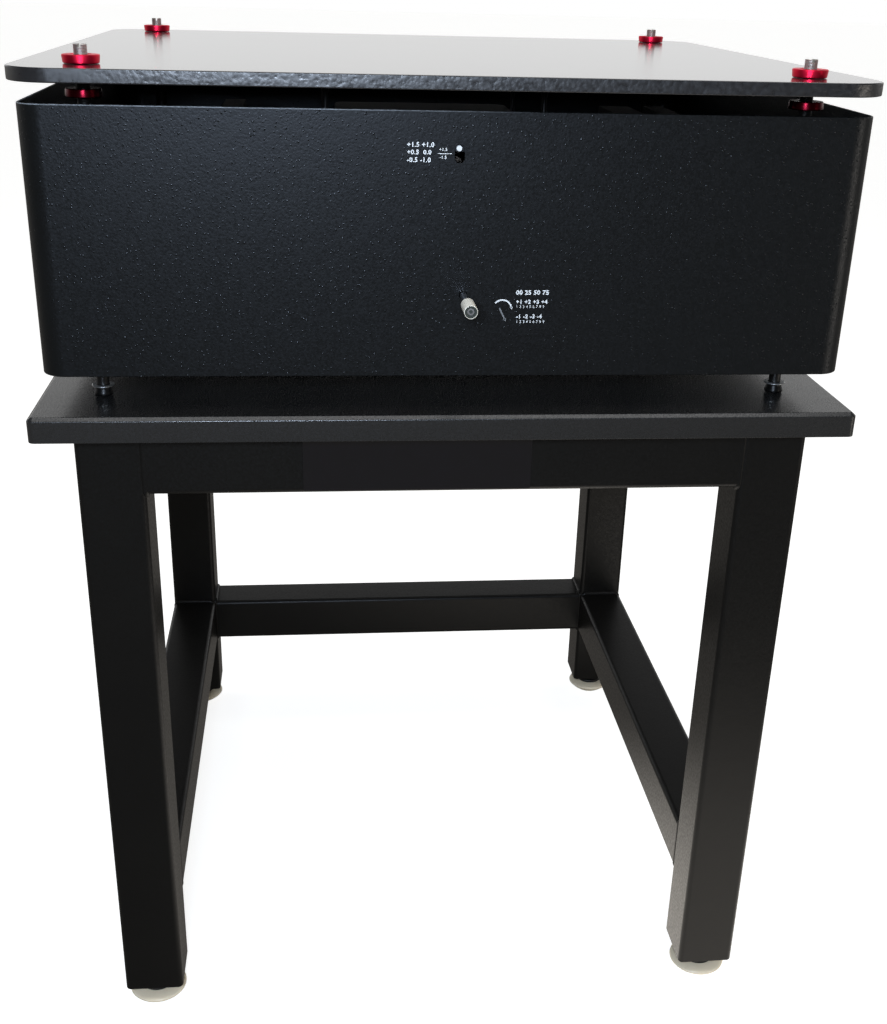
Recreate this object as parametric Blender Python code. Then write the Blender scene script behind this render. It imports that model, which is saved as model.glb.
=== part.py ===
import math

import bmesh
import bpy
from mathutils import Matrix, Vector

# Metres, +Z up, the front faces -Y. The origin is on the floor under the middle of the whole object.

for old_object in list(bpy.data.objects):
    bpy.data.objects.remove(old_object, do_unlink=True)

# Clearances and facets shared by all pieces
seat_gap = 0.0003
cut_overrun = 0.002
corner_steps = 4
tube_corner_steps = 3
edge_steps = 2
round_sides = 24
bore_sides = 16
pin_sides = 12
smooth_angle = math.radians(35)

# Payload plate, which the casing, the studs and the stand follow
plate_width = 0.6096
plate_depth = 0.5715
plate_thickness = 0.0095
plate_corner_radius = 0.033
plate_edge_radius = 0.0007
plate_clearance = 0.0135
plate_travel = 0.006
plate_float = 0.0025
working_area_margin = 0.005
border_drop = 0.00002

# Stand, whose top reaches past the payload plate by the margins
stand_side_margin = 0.0037
stand_front_margin = 0.01125
stand_rear_margin = 0.05225
stand_height = 0.576
stand_top_thickness = 0.019
stand_corner_radius = 0.004
stand_edge_radius = 0.0028
frame_side_inset = 0.027
frame_end_inset = 0.0255
tube_size = 0.0508
tube_wall = 0.003
tube_corner_radius = 0.004
stretcher_drop = 0.427
leg_end_plate = 0.008
foot_reach = 0.024
foot_radius = 0.0255
foot_rim_height = 0.009
foot_edge_radius = 0.003
foot_crown_height = 0.002
foot_hub_radius = 0.009
foot_hub_height = 0.005
foot_stem_radius = 0.005
foot_stem_length = 0.055

# Isolator casing
cover_side_inset = 0.0063
cover_end_inset = 0.00625
cover_height = 0.187
cover_wall = 0.0015
cover_corner_radius = 0.018
cover_lift = 0.0255
base_thickness = 0.012
base_lift = 0.0015
boss_radius = 0.012
boss_height = 0.012
slot_width = 0.0062
slot_height = 0.0119
slot_centre_height = 0.159
key_hole_radius = 0.008

# Studs, nuts and feet
stud_side_inset = 0.0478
stud_end_inset = 0.046
stud_radius = 0.00475
stud_proud = 0.0065
stud_slot_width = 0.0022
stud_slot_depth = 0.0016
stud_end_chamfer = 0.0005
stud_depth_in_boss = 0.008
hole_margin = 0.0004
nut_radius = 0.0129
nut_height = 0.0058
nut_taper = 0.0005
nut_chamfer = 0.0006
pad_side_inset = 0.0440
pad_radius = 0.0083
pad_height = 0.007
pad_chamfer = 0.0012
pad_stem_radius = 0.00475
pad_stem_reach = 0.0075
pad_travel = 0.006

# Load adjuster: crank shaft, bevel pair, lead screw, travelling seat and spring
adjuster_x = 0.0055
adjuster_height = 0.0605
adjuster_hole_radius = 0.0042
shaft_radius = 0.0025
shaft_inner_end = 0.0125
shaft_collar_radius = 0.006
shaft_collar_length = 0.004
sleeve_radius = 0.0048
sleeve_length = 0.022
sleeve_reach = 0.052
sleeve_recess_radius = 0.0037
sleeve_recess_depth = 0.004
sleeve_chamfer = 0.0005
shaft_set_back = 0.0015
shaft_socket_radius = 0.0013
shaft_socket_depth = 0.0015
gear_module = 0.0015
gear_teeth = 32
pinion_teeth = 16
face_width = 0.008
pressure_angle = math.radians(20)
gear_backlash = 0.0003
gear_hub_radius = 0.010
gear_hub_length = 0.0135
gear_back_depth = 0.0035
pinion_hub_radius = 0.0075
pinion_hub_length = 0.006
pinion_back_depth = 0.001
flank_shares = (-1.25, -0.3, 0.4, 1)
screw_radius = 0.006
screw_journal_radius = 0.005
screw_top = 0.150
bracket_width = 0.084
bracket_depth = 0.072
bracket_front_reach = 0.052
bracket_base_thickness = 0.008
bracket_corner_radius = 0.008
bracket_boss_radius = 0.014
bracket_wall_width = 0.044
bracket_crown_radius = 0.014
bracket_wall_thickness = 0.008
seat_height = 0.106
seat_radius = 0.030
seat_thickness = 0.006
seat_boss_radius = 0.011
seat_boss_height = 0.014
rod_clearance = 0.010
rod_radius = 0.003
rod_top = 0.150
rod_seat_depth = 0.008
seat_ear_radius = 0.007
spring_mean_radius = 0.025
spring_wire_radius = 0.00275
spring_end_turns = 1
spring_active_turns = 4
spring_turn_points = 12
spring_end_clearance = 0.0007

# Negative-stiffness mechanism: hub, flexures, posts and thrust block
hub_width = 0.160
hub_depth = 0.160
hub_thickness = 0.016
hub_corner_radius = 0.012
hub_edge_radius = 0.001
hub_centre_height = 0.177
hub_pocket_radius = 0.0295
hub_pocket_depth = 0.003
flexure_thickness = 0.0012
flexure_end_width = 0.060
flexure_waist_width = 0.040
flexure_seat_depth = 0.013
flexure_taper_length = 0.012
left_post_inset = 0.1385
post_thickness = 0.018
post_depth = 0.080
post_top_height = 0.189
post_foot_length = 0.040
post_foot_inner_length = 0.004
post_foot_thickness = 0.010
post_gusset_height = 0.075
right_post_inset = 0.0935
block_inset = 0.1355
block_length = 0.027
block_depth = 0.072
ledge_thickness = 0.008
ledge_inner_reach = 0.042
block_underside_height = 0.158
key_screw_radius = 0.005
key_screw_set_in = 0.0155
key_collar_radius = 0.0075
key_collar_length = 0.003
key_head_radius = 0.008
key_head_length = 0.009
key_socket_radius = 0.0032
thrust_travel = 0.00125
key_socket_depth = 0.005
socket_sides = 6

# Carriage frame, beam columns and plate frame
carriage_size = 0.204
carriage_opening = 0.124
carriage_corner_radius = 0.014
carriage_opening_radius = 0.006
carriage_bottom = 0.049
carriage_thickness = 0.010
hanger_inset = 0.010
hanger_radius = 0.006
column_inset = 0.012
column_radius = 0.003
column_waist_radius = 0.0021
column_end_length = 0.012
column_socket_depth = 0.008
plate_frame_size = 0.204
plate_frame_opening = 0.152
plate_frame_thickness = 0.0125

# Height indicator
arm_width = 0.008
arm_thickness = 0.005
arm_overlap = 0.018
arm_wall_clearance = 0.0015
arm_pin_radius = 0.0014
dot_radius = 0.00195
dot_thickness = 0.0009
dot_set_back = 0.0002

# Finishes: colour, roughness and metallic value
black_powder_coat = ((0.012, 0.013, 0.015), 0.5, 0.0)
satin_black_paint = ((0.010, 0.010, 0.011), 0.4, 0.0)
red_anodised = ((0.45, 0.008, 0.022), 0.3, 0.8)
plain_steel = ((0.32, 0.32, 0.33), 0.35, 1.0)
spring_steel = ((0.12, 0.12, 0.13), 0.4, 1.0)
plain_aluminium = ((0.55, 0.56, 0.57), 0.4, 1.0)
cream_plastic = ((0.72, 0.68, 0.58), 0.4, 0.0)
white_paint = ((0.85, 0.86, 0.87), 0.5, 0.0)

# Heights and places that follow from the sizes above
cover_width = plate_width - 2 * cover_side_inset
cover_depth = plate_depth - 2 * cover_end_inset
stud_spread_x = plate_width - 2 * stud_side_inset
stud_spread_y = plate_depth - 2 * stud_end_inset
stand_width = plate_width + 2 * stand_side_margin
stand_depth = plate_depth + stand_front_margin + stand_rear_margin
isolator_forward = (stand_rear_margin - stand_front_margin) / 2
frame_width = stand_width - 2 * frame_side_inset
frame_depth = stand_depth - 2 * frame_end_inset
left_post_face = cover_width / 2 - left_post_inset
right_post_face = cover_width / 2 - right_post_inset
block_face = cover_width / 2 - block_inset
key_screw_inner_end = block_face + key_screw_set_in
rod_offset = seat_radius + rod_clearance
hanger_offset = hub_width / 2 - hanger_inset
column_offset = carriage_size / 2 - column_inset
cover_front = -cover_depth / 2
cover_top = cover_lift + cover_height
plate_underside = cover_top + plate_clearance
plate_top = plate_underside + plate_thickness
base_bottom = cover_lift + base_lift
base_top = base_bottom + base_thickness
boss_top = base_top + boss_height
axis_height = cover_lift + adjuster_height
sleeve_end = cover_front - sleeve_reach
hub_bottom = hub_centre_height - hub_thickness / 2
hub_top = hub_centre_height + hub_thickness / 2
carriage_top = carriage_bottom + carriage_thickness
plate_frame_bottom = plate_underside - seat_gap - plate_frame_thickness
gear_pitch_radius = gear_module * gear_teeth / 2
pinion_pitch_radius = gear_module * pinion_teeth / 2
gear_hub_bottom = axis_height - pinion_pitch_radius - gear_hub_length
collar_front = gear_pitch_radius + pinion_hub_length + seat_gap + shaft_collar_length
stud_places = {
    "front_left": (-stud_spread_x / 2, -stud_spread_y / 2),
    "front_right": (stud_spread_x / 2, -stud_spread_y / 2),
    "rear_left": (-stud_spread_x / 2, stud_spread_y / 2),
    "rear_right": (stud_spread_x / 2, stud_spread_y / 2),
}
pad_spread_x = plate_width - 2 * pad_side_inset
pad_places = {
    "front_left": (-pad_spread_x / 2, -stud_spread_y / 2),
    "front_right": (pad_spread_x / 2, -stud_spread_y / 2),
    "rear_left": (-pad_spread_x / 2, stud_spread_y / 2),
    "rear_right": (pad_spread_x / 2, stud_spread_y / 2),
}
leg_spread_x = frame_width - tube_size
leg_spread_y = frame_depth - tube_size
leg_places = {
    "front_left": (-leg_spread_x / 2, -leg_spread_y / 2),
    "front_right": (leg_spread_x / 2, -leg_spread_y / 2),
    "rear_left": (-leg_spread_x / 2, leg_spread_y / 2),
    "rear_right": (leg_spread_x / 2, leg_spread_y / 2),
}
column_places = [(x * column_offset, y * column_offset) for y in (-1, 1) for x in (-1, 1)]

# The sleeve reaches out past the stand's top, so the stand's middle lies behind the origin
stand_front = -stand_depth / 2
stand_centre_y = (stand_front - (sleeve_end - isolator_forward)) / 2

# Outlines drawn as (x, z) or (y, z) are turned upright by these
upright_along_y = Matrix(((1, 0, 0), (0, 0, 1), (0, 1, 0)))
upright_along_x = Matrix(((0, 0, 1), (1, 0, 0), (0, 1, 0)))
level = Matrix.Identity(3)


def make_material(name, finish):
    colour, roughness, metallic = finish
    material = bpy.data.materials.new(name)
    material.use_nodes = True
    shader = material.node_tree.nodes["Principled BSDF"]
    shader.inputs["Base Color"].default_value = (*colour, 1)
    shader.inputs["Roughness"].default_value = roughness
    shader.inputs["Metallic"].default_value = metallic
    return material


def make_object(name, bm, finish, parent, place=(0, 0, 0), turn=(0, 0, 0)):
    bmesh.ops.recalc_face_normals(bm, faces=bm.faces)
    mesh = bpy.data.meshes.new(name)
    bm.to_mesh(mesh)
    bm.free()
    mesh.shade_smooth()
    mesh.set_sharp_from_angle(angle=smooth_angle)
    made = bpy.data.objects.new(name, mesh)
    bpy.context.collection.objects.link(made)
    made.parent = parent
    made.location = place
    made.rotation_euler = turn
    mesh.materials.append(make_material(name, finish))
    return made


def make_empty(name, place):
    empty = bpy.data.objects.new(name, None)
    bpy.context.collection.objects.link(empty)
    empty.location = place
    return empty


def combine(target, bm, operation="DIFFERENCE"):
    bmesh.ops.recalc_face_normals(bm, faces=bm.faces)
    tool_name = f"{target.name} {operation.lower()} {len(target.modifiers)}"
    mesh = bpy.data.meshes.new(tool_name)
    bm.to_mesh(mesh)
    bm.free()
    tool = bpy.data.objects.new(tool_name, mesh)
    bpy.context.collection.objects.link(tool)
    tool.parent = target
    tool.hide_render = True
    tool.display_type = "WIRE"
    boolean = target.modifiers.new(tool_name, "BOOLEAN")
    boolean.object = tool
    boolean.operation = operation
    boolean.solver = "EXACT"


def soften(target, radius, segments=edge_steps):
    bevel = target.modifiers.new("edge rounding", "BEVEL")
    bevel.width = radius
    bevel.segments = segments
    bevel.limit_method = "ANGLE"
    bevel.angle_limit = math.radians(50)


def rounded_rectangle(width, height, radius, steps=corner_steps, centre=(0, 0)):
    points = []
    for quarter, (right, up) in enumerate(((1, 1), (-1, 1), (-1, -1), (1, -1))):
        corner_x = centre[0] + right * (width / 2 - radius)
        corner_y = centre[1] + up * (height / 2 - radius)
        for step in range(steps + 1):
            angle = math.pi / 2 * (quarter + step / steps)
            points.append((corner_x + radius * math.cos(angle), corner_y + radius * math.sin(angle)))
    return points


def circle(radius, sides=round_sides, centre=(0, 0), start_share=0):
    angles = [2 * math.pi * (side + start_share) / sides for side in range(sides)]
    return [(centre[0] + radius * math.cos(a), centre[1] + radius * math.sin(a)) for a in angles]


def arc(radius, start, end, steps, centre=(0, 0)):
    angles = [start + (end - start) * step / steps for step in range(steps + 1)]
    return [(centre[0] + radius * math.cos(a), centre[1] + radius * math.sin(a)) for a in angles]


def add_prism(bm, outline, low, high, turn=level):
    ends = [[bm.verts.new(turn @ Vector((x, y, z))) for x, y in outline] for z in (low, high)]
    for end in ends:
        bm.faces.new(end)
    for i in range(len(outline)):
        bm.faces.new((ends[0][i - 1], ends[0][i], ends[1][i], ends[1][i - 1]))


def add_shell(bm, stations, turn=level):
    # Stations are (outline, height) with equal point counts; the last one joins the first
    loops = [[bm.verts.new(turn @ Vector((x, y, z))) for x, y in outline] for outline, z in stations]
    for loop, following in zip(loops, loops[1:] + loops[:1]):
        for i in range(len(loop)):
            bm.faces.new((loop[i - 1], loop[i], following[i], following[i - 1]))


def add_lathe(bm, profile, sides=round_sides, turn=level):
    # A profile of (radius, height) that starts and ends on the axis is closed there, any other joins itself
    on_axis = profile[0][0] == 0
    rings = []
    for radius, height in profile[1:-1] if on_axis else profile:
        rings.append([bm.verts.new(turn @ Vector((x, y, height))) for x, y in circle(radius, sides)])
    pairs = list(zip(rings, rings[1:]))
    if not on_axis:
        pairs.append((rings[-1], rings[0]))
    for ring, following in pairs:
        for i in range(sides):
            bm.faces.new((ring[i - 1], ring[i], following[i], following[i - 1]))
    if on_axis:
        bm.faces.new(rings[0])
        bm.faces.new(rings[-1])


def square_tube(end_low, end_high):
    bm = bmesh.new()
    outer = rounded_rectangle(tube_size, tube_size, tube_corner_radius, tube_corner_steps)
    hollow = tube_size - 2 * tube_wall
    inner = rounded_rectangle(hollow, hollow, tube_corner_radius - tube_wall, tube_corner_steps)
    add_shell(bm, [(outer, end_low), (outer, end_high), (inner, end_high), (inner, end_low)])
    return bm


# Stand

def build_stand_top(stand):
    bm = bmesh.new()
    outline = rounded_rectangle(stand_width, stand_depth, stand_corner_radius)
    add_prism(bm, outline, -stand_top_thickness, 0)
    top = make_object("stand_top", bm, satin_black_paint, stand, (0, 0, stand_height))
    soften(top, stand_edge_radius)


def build_leg(stand, corner, place):
    bm = bmesh.new()
    outer = rounded_rectangle(tube_size, tube_size, tube_corner_radius, tube_corner_steps)
    hollow = tube_size - 2 * tube_wall
    inner = rounded_rectangle(hollow, hollow, tube_corner_radius - tube_wall, tube_corner_steps)
    hole = circle(foot_stem_radius + seat_gap, len(outer), start_share=1 / 2)
    leg_top = stand_height - stand_top_thickness - seat_gap - foot_reach
    stations = [(outer, 0), (outer, leg_top), (inner, leg_top), (inner, leg_end_plate)]
    add_shell(bm, stations + [(hole, leg_end_plate), (hole, 0)])
    make_object(f"leg_{corner}", bm, satin_black_paint, stand, (*place, foot_reach))


def build_rails(stand):
    along_x = (0, math.pi / 2, 0)
    along_y = (math.pi / 2, 0, 0)
    length_x = leg_spread_x - tube_size - 2 * seat_gap
    length_y = leg_spread_y - tube_size - 2 * seat_gap
    apron_z = stand_height - stand_top_thickness - seat_gap - tube_size / 2
    stretcher_z = stand_height - stretcher_drop - tube_size / 2
    rails = {
        "apron_front": (length_x, (0, -leg_spread_y / 2, apron_z), along_x),
        "apron_rear": (length_x, (0, leg_spread_y / 2, apron_z), along_x),
        "apron_left": (length_y, (-leg_spread_x / 2, 0, apron_z), along_y),
        "apron_right": (length_y, (leg_spread_x / 2, 0, apron_z), along_y),
        "stretcher_rear": (length_x, (0, leg_spread_y / 2, stretcher_z), along_x),
        "stretcher_left": (length_y, (-leg_spread_x / 2, 0, stretcher_z), along_y),
        "stretcher_right": (length_y, (leg_spread_x / 2, 0, stretcher_z), along_y),
    }
    for name, (length, place, turn) in rails.items():
        make_object(name, square_tube(-length / 2, length / 2), satin_black_paint, stand, place, turn)


def build_stand_foot(stand, corner, place):
    bm = bmesh.new()
    crown = foot_rim_height + foot_crown_height
    profile = [
        (0, 0),
        (foot_radius - foot_edge_radius, 0),
        (foot_radius, foot_edge_radius),
        (foot_radius, foot_rim_height),
        (foot_radius - foot_crown_height, crown),
        (foot_hub_radius, crown + foot_crown_height),
        (foot_hub_radius, crown + foot_hub_height),
        (foot_stem_radius, crown + foot_hub_height),
        (foot_stem_radius, foot_stem_length),
        (0, foot_stem_length),
    ]
    add_lathe(bm, profile)
    make_object(f"stand_foot_{corner}", bm, cream_plastic, stand, (*place, 0))


# Isolator casing

def build_base_plate(isolator):
    bm = bmesh.new()
    inset = 2 * (cover_wall + seat_gap)
    outline = rounded_rectangle(cover_width - inset, cover_depth - inset, cover_corner_radius - inset / 2)
    add_prism(bm, outline, 0, base_thickness)
    place = (0, 0, base_bottom)
    base = make_object("base_plate", bm, black_powder_coat, isolator, place)
    bosses = bmesh.new()
    holes = bmesh.new()
    stud_depth = base_thickness + boss_height - stud_depth_in_boss - seat_gap
    pad_depth = pad_stem_reach + pad_travel + seat_gap
    for corner, centre in stud_places.items():
        boss = circle(boss_radius, bore_sides, centre)
        add_prism(bosses, boss, base_thickness / 2, base_thickness + boss_height)
        stud_hole = circle(stud_radius + seat_gap, bore_sides, centre)
        add_prism(holes, stud_hole, stud_depth, base_thickness + boss_height + cut_overrun)
        pad_hole = circle(pad_stem_radius + seat_gap, bore_sides, pad_places[corner])
        add_prism(holes, pad_hole, -cut_overrun, pad_depth)
    rod_hole = circle(rod_radius + seat_gap, pin_sides, (adjuster_x, rod_offset))
    add_prism(holes, rod_hole, base_thickness - rod_seat_depth, base_thickness + cut_overrun)
    combine(base, bosses, "UNION")
    combine(base, holes)


def build_cover(isolator):
    bm = bmesh.new()
    outer = rounded_rectangle(cover_width, cover_depth, cover_corner_radius)
    inner_radius = cover_corner_radius - cover_wall
    inner = rounded_rectangle(cover_width - 2 * cover_wall, cover_depth - 2 * cover_wall, inner_radius)
    add_shell(bm, [(outer, 0), (outer, cover_height), (inner, cover_height), (inner, 0)])
    cover = make_object("cover", bm, black_powder_coat, isolator, (0, 0, cover_lift))
    openings = bmesh.new()
    slot = rounded_rectangle(slot_width, slot_height, slot_width / 2, centre=(0, slot_centre_height))
    adjuster_hole = circle(adjuster_hole_radius, centre=(adjuster_x, adjuster_height))
    for outline in (slot, adjuster_hole):
        inside = cover_front + cover_wall + cut_overrun
        add_prism(openings, outline, cover_front - cut_overrun, inside, upright_along_y)
    key_hole = circle(key_hole_radius, centre=(0, hub_centre_height - cover_lift))
    wall_inside = cover_width / 2 - cover_wall - cut_overrun
    add_prism(openings, key_hole, wall_inside, cover_width / 2 + cut_overrun, upright_along_x)
    combine(cover, openings)


def build_pad(isolator, corner, place):
    bm = bmesh.new()
    profile = [
        (0, seat_gap),
        (pad_radius, seat_gap),
        (pad_radius, pad_height - pad_chamfer),
        (pad_radius - pad_chamfer, pad_height),
        (pad_stem_radius, pad_height),
        (pad_stem_radius, base_bottom + pad_stem_reach),
        (0, base_bottom + pad_stem_reach),
    ]
    add_lathe(bm, profile, bore_sides)
    make_object(f"isolator_foot_{corner}", bm, spring_steel, isolator, (*place, 0))


def build_stud(isolator, corner, place):
    bm = bmesh.new()
    low = boss_top - stud_depth_in_boss
    high = plate_top + seat_gap + nut_height + stud_proud
    profile = [
        (0, 0),
        (stud_radius, 0),
        (stud_radius, high - low - stud_end_chamfer),
        (stud_radius - stud_end_chamfer, high - low),
        (0, high - low),
    ]
    add_lathe(bm, profile, bore_sides)
    stud = make_object(f"stud_{corner}", bm, plain_steel, isolator, (*place, low))
    slot = bmesh.new()
    slot_bottom = high - low - stud_slot_depth
    across = stud_radius + cut_overrun
    sides = [
        (-stud_slot_width / 2, high - low + cut_overrun),
        (-stud_slot_width / 2, slot_bottom),
        (stud_slot_width / 2, slot_bottom),
        (stud_slot_width / 2, high - low + cut_overrun),
    ]
    add_prism(slot, sides, -across, across, upright_along_y)
    combine(stud, slot)


def build_nut(isolator, name, place, low, wide_end_up):
    bm = bmesh.new()
    bore = stud_radius + seat_gap
    profile = [
        (bore, 0),
        (nut_radius - nut_taper - nut_chamfer, 0),
        (nut_radius - nut_taper, nut_chamfer),
        (nut_radius, nut_height - nut_chamfer),
        (nut_radius - nut_chamfer, nut_height),
        (bore, nut_height),
    ]
    if not wide_end_up:
        profile = [(radius, nut_height - height) for radius, height in profile]
    add_lathe(bm, profile)
    make_object(name, bm, red_anodised, isolator, (*place, low))


def add_loop(bm, outline, height):
    loop = [bm.verts.new((x, y, height)) for x, y in outline]
    return loop, [bm.edges.new((loop[i - 1], loop[i])) for i in range(len(loop))]


def build_payload_plate(isolator):
    # The working area between the nuts is one flat face, and the border with the holes falls away from it a little
    bm = bmesh.new()
    clear_of_nuts = nut_radius + working_area_margin
    area_x = stud_spread_x / 2 - clear_of_nuts
    area_y = stud_spread_y / 2 - clear_of_nuts
    chamfer = plate_edge_radius
    border_height = plate_thickness - border_drop
    full = rounded_rectangle(plate_width, plate_depth, plate_corner_radius)
    trimmed = rounded_rectangle(plate_width - 2 * chamfer, plate_depth - 2 * chamfer, plate_corner_radius - chamfer)
    low, low_edges = add_loop(bm, trimmed, 0)
    high, high_edges = add_loop(bm, trimmed, border_height)
    sides = [low, add_loop(bm, full, chamfer)[0], add_loop(bm, full, border_height - chamfer)[0], high]
    walls = list(zip(sides, sides[1:]))
    hole_radius = stud_radius + plate_float * math.sqrt(2) + hole_margin
    for centre in stud_places.values():
        hole_low, edges = add_loop(bm, circle(hole_radius, centre=centre), 0)
        low_edges += edges
        hole_high, edges = add_loop(bm, circle(hole_radius, centre=centre), border_height)
        high_edges += edges
        walls.append((hole_low, hole_high))
    for lower, upper in walls:
        for i in range(len(lower)):
            bm.faces.new((lower[i - 1], lower[i], upper[i], upper[i - 1]))
    corners = ((area_x, area_y), (-area_x, area_y), (-area_x, -area_y), (area_x, -area_y))
    area, edges = add_loop(bm, corners, plate_thickness)
    bm.faces.new(area)
    bmesh.ops.triangle_fill(bm, edges=low_edges, use_beauty=True, normal=(0, 0, -1))
    bmesh.ops.triangle_fill(bm, edges=high_edges + edges, use_beauty=True, normal=(0, 0, 1))
    make_object("payload_plate", bm, black_powder_coat, isolator, (0, 0, plate_underside))


# Load adjuster

def bevel_profile(teeth, cone_angle, phase_share):
    # Points of one end of the teeth as (angle, radius, depth) from the apex, with involute flanks
    pitch_radius = gear_module * teeth / 2
    flat_radius = pitch_radius / math.cos(cone_angle)
    base_radius = flat_radius * math.cos(pressure_angle)
    half_tooth = (math.pi * gear_module / 2 - gear_backlash) / 2 / flat_radius
    heights = [gear_module * share for share in flank_shares]

    def involute(angle):
        return math.tan(angle) - angle

    def half_angle(height):
        radius = flat_radius + height
        angle = math.acos(min(1, base_radius / radius))
        half_width = radius * (half_tooth + involute(pressure_angle) - involute(angle))
        return half_width / (pitch_radius + height * math.cos(cone_angle))

    points = []
    for tooth in range(teeth):
        middle = 2 * math.pi * (tooth + phase_share) / teeth
        for side, climb in ((-1, heights), (1, heights[::-1])):
            for height in climb:
                radius = pitch_radius + height * math.cos(cone_angle)
                depth = pitch_radius / math.tan(cone_angle) - height * math.sin(cone_angle)
                points.append((middle + side * half_angle(height), radius, depth))
    return points


def add_bevel_gear(bm, teeth, mate_teeth, phase_share, back_depth, hub_radius, hub_low, bore_radius):
    # The apex is the origin and the teeth lie below it, so both ends scale towards it
    cone_angle = math.atan(teeth / mate_teeth)
    cone_length = gear_module * teeth / 2 / math.sin(cone_angle)
    inner_share = 1 - face_width / cone_length
    points = bevel_profile(teeth, cone_angle, phase_share)
    outer, inner = [], []
    for angle, radius, depth in points:
        tip = Vector((radius * math.cos(angle), radius * math.sin(angle), -depth))
        outer.append(bm.verts.new(tip))
        inner.append(bm.verts.new(tip * inner_share))
    deepest = max(depth for angle, radius, depth in points)
    front = -min(depth for angle, radius, depth in points) * inner_share

    # The hub and the bore have one point for each tooth, so each end is a fan of that tooth's points
    def ring(radius, height):
        return [bm.verts.new((x, y, height)) for x, y in circle(radius, teeth, start_share=phase_share)]

    def fan(loop, centre_ring):
        share = len(loop) // teeth
        for i in range(len(loop)):
            tooth = i // share
            if i % share:
                bm.faces.new((loop[i - 1], loop[i], centre_ring[tooth]))
            else:
                bm.faces.new((loop[i - 1], loop[i], centre_ring[tooth], centre_ring[tooth - 1]))

    for i in range(len(points)):
        bm.faces.new((outer[i - 1], outer[i], inner[i], inner[i - 1]))
    rings = [ring(hub_radius, -deepest - back_depth), ring(hub_radius, hub_low)]
    rings += [ring(bore_radius, hub_low), ring(bore_radius, front)]
    fan(outer, rings[0])
    fan(inner, rings[-1])
    for upper, lower in zip(rings, rings[1:]):
        for i in range(teeth):
            bm.faces.new((upper[i - 1], upper[i], lower[i], lower[i - 1]))


def build_bevel_gear(isolator):
    bm = bmesh.new()
    hub_low = -pinion_pitch_radius - gear_hub_length
    bore = screw_radius + seat_gap
    add_bevel_gear(bm, gear_teeth, pinion_teeth, 0, gear_back_depth, gear_hub_radius, hub_low, bore)
    make_object("bevel_gear", bm, plain_steel, isolator, (adjuster_x, 0, axis_height))


def build_pinion(isolator):
    # Turned half a tooth, so that a gap of it takes the gear's nearest tooth
    bm = bmesh.new()
    hub_low = -gear_pitch_radius - pinion_hub_length
    bore = shaft_radius + seat_gap
    add_bevel_gear(bm, pinion_teeth, gear_teeth, 1 / 2, pinion_back_depth, pinion_hub_radius, hub_low, bore)
    place = (adjuster_x, 0, axis_height)
    make_object("pinion", bm, plain_steel, isolator, place, (-math.pi / 2, 0, 0))


def build_crank_shaft(isolator):
    # Along the shaft, heights are distances forward of the lead screw's axis
    bm = bmesh.new()
    end = -sleeve_end - shaft_set_back
    profile = [
        (0, shaft_inner_end),
        (shaft_radius, shaft_inner_end),
        (shaft_radius, collar_front - shaft_collar_length),
        (shaft_collar_radius, collar_front - shaft_collar_length),
        (shaft_collar_radius, collar_front),
        (shaft_radius, collar_front),
        (shaft_radius, end),
        (shaft_socket_radius, end),
        (shaft_socket_radius, end - shaft_socket_depth),
        (0, end - shaft_socket_depth),
    ]
    add_lathe(bm, profile, bore_sides)
    turn = (math.pi / 2, 0, 0)
    make_object("adjuster_shaft", bm, plain_steel, isolator, (adjuster_x, 0, axis_height), turn)


def build_sleeve(isolator):
    bm = bmesh.new()
    bore = shaft_radius + seat_gap
    profile = [
        (bore, 0),
        (sleeve_radius - sleeve_chamfer, 0),
        (sleeve_radius, sleeve_chamfer),
        (sleeve_radius, sleeve_length - sleeve_chamfer),
        (sleeve_radius - sleeve_chamfer, sleeve_length),
        (sleeve_recess_radius, sleeve_length),
        (sleeve_recess_radius, sleeve_length - sleeve_recess_depth),
        (bore, sleeve_length - sleeve_recess_depth),
    ]
    add_lathe(bm, profile)
    place = (adjuster_x, sleeve_end + sleeve_length, axis_height)
    make_object("adjuster_sleeve", bm, cream_plastic, isolator, place, (math.pi / 2, 0, 0))


def build_lead_screw(isolator):
    bm = bmesh.new()
    low = base_top + seat_gap
    shoulder = gear_hub_bottom
    profile = [
        (0, 0),
        (screw_journal_radius, 0),
        (screw_journal_radius, shoulder - low),
        (screw_radius, shoulder - low),
        (screw_radius, screw_top - low - stud_end_chamfer),
        (screw_radius - stud_end_chamfer, screw_top - low),
        (0, screw_top - low),
    ]
    add_lathe(bm, profile, bore_sides)
    make_object("lead_screw", bm, plain_steel, isolator, (adjuster_x, 0, low))


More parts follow.
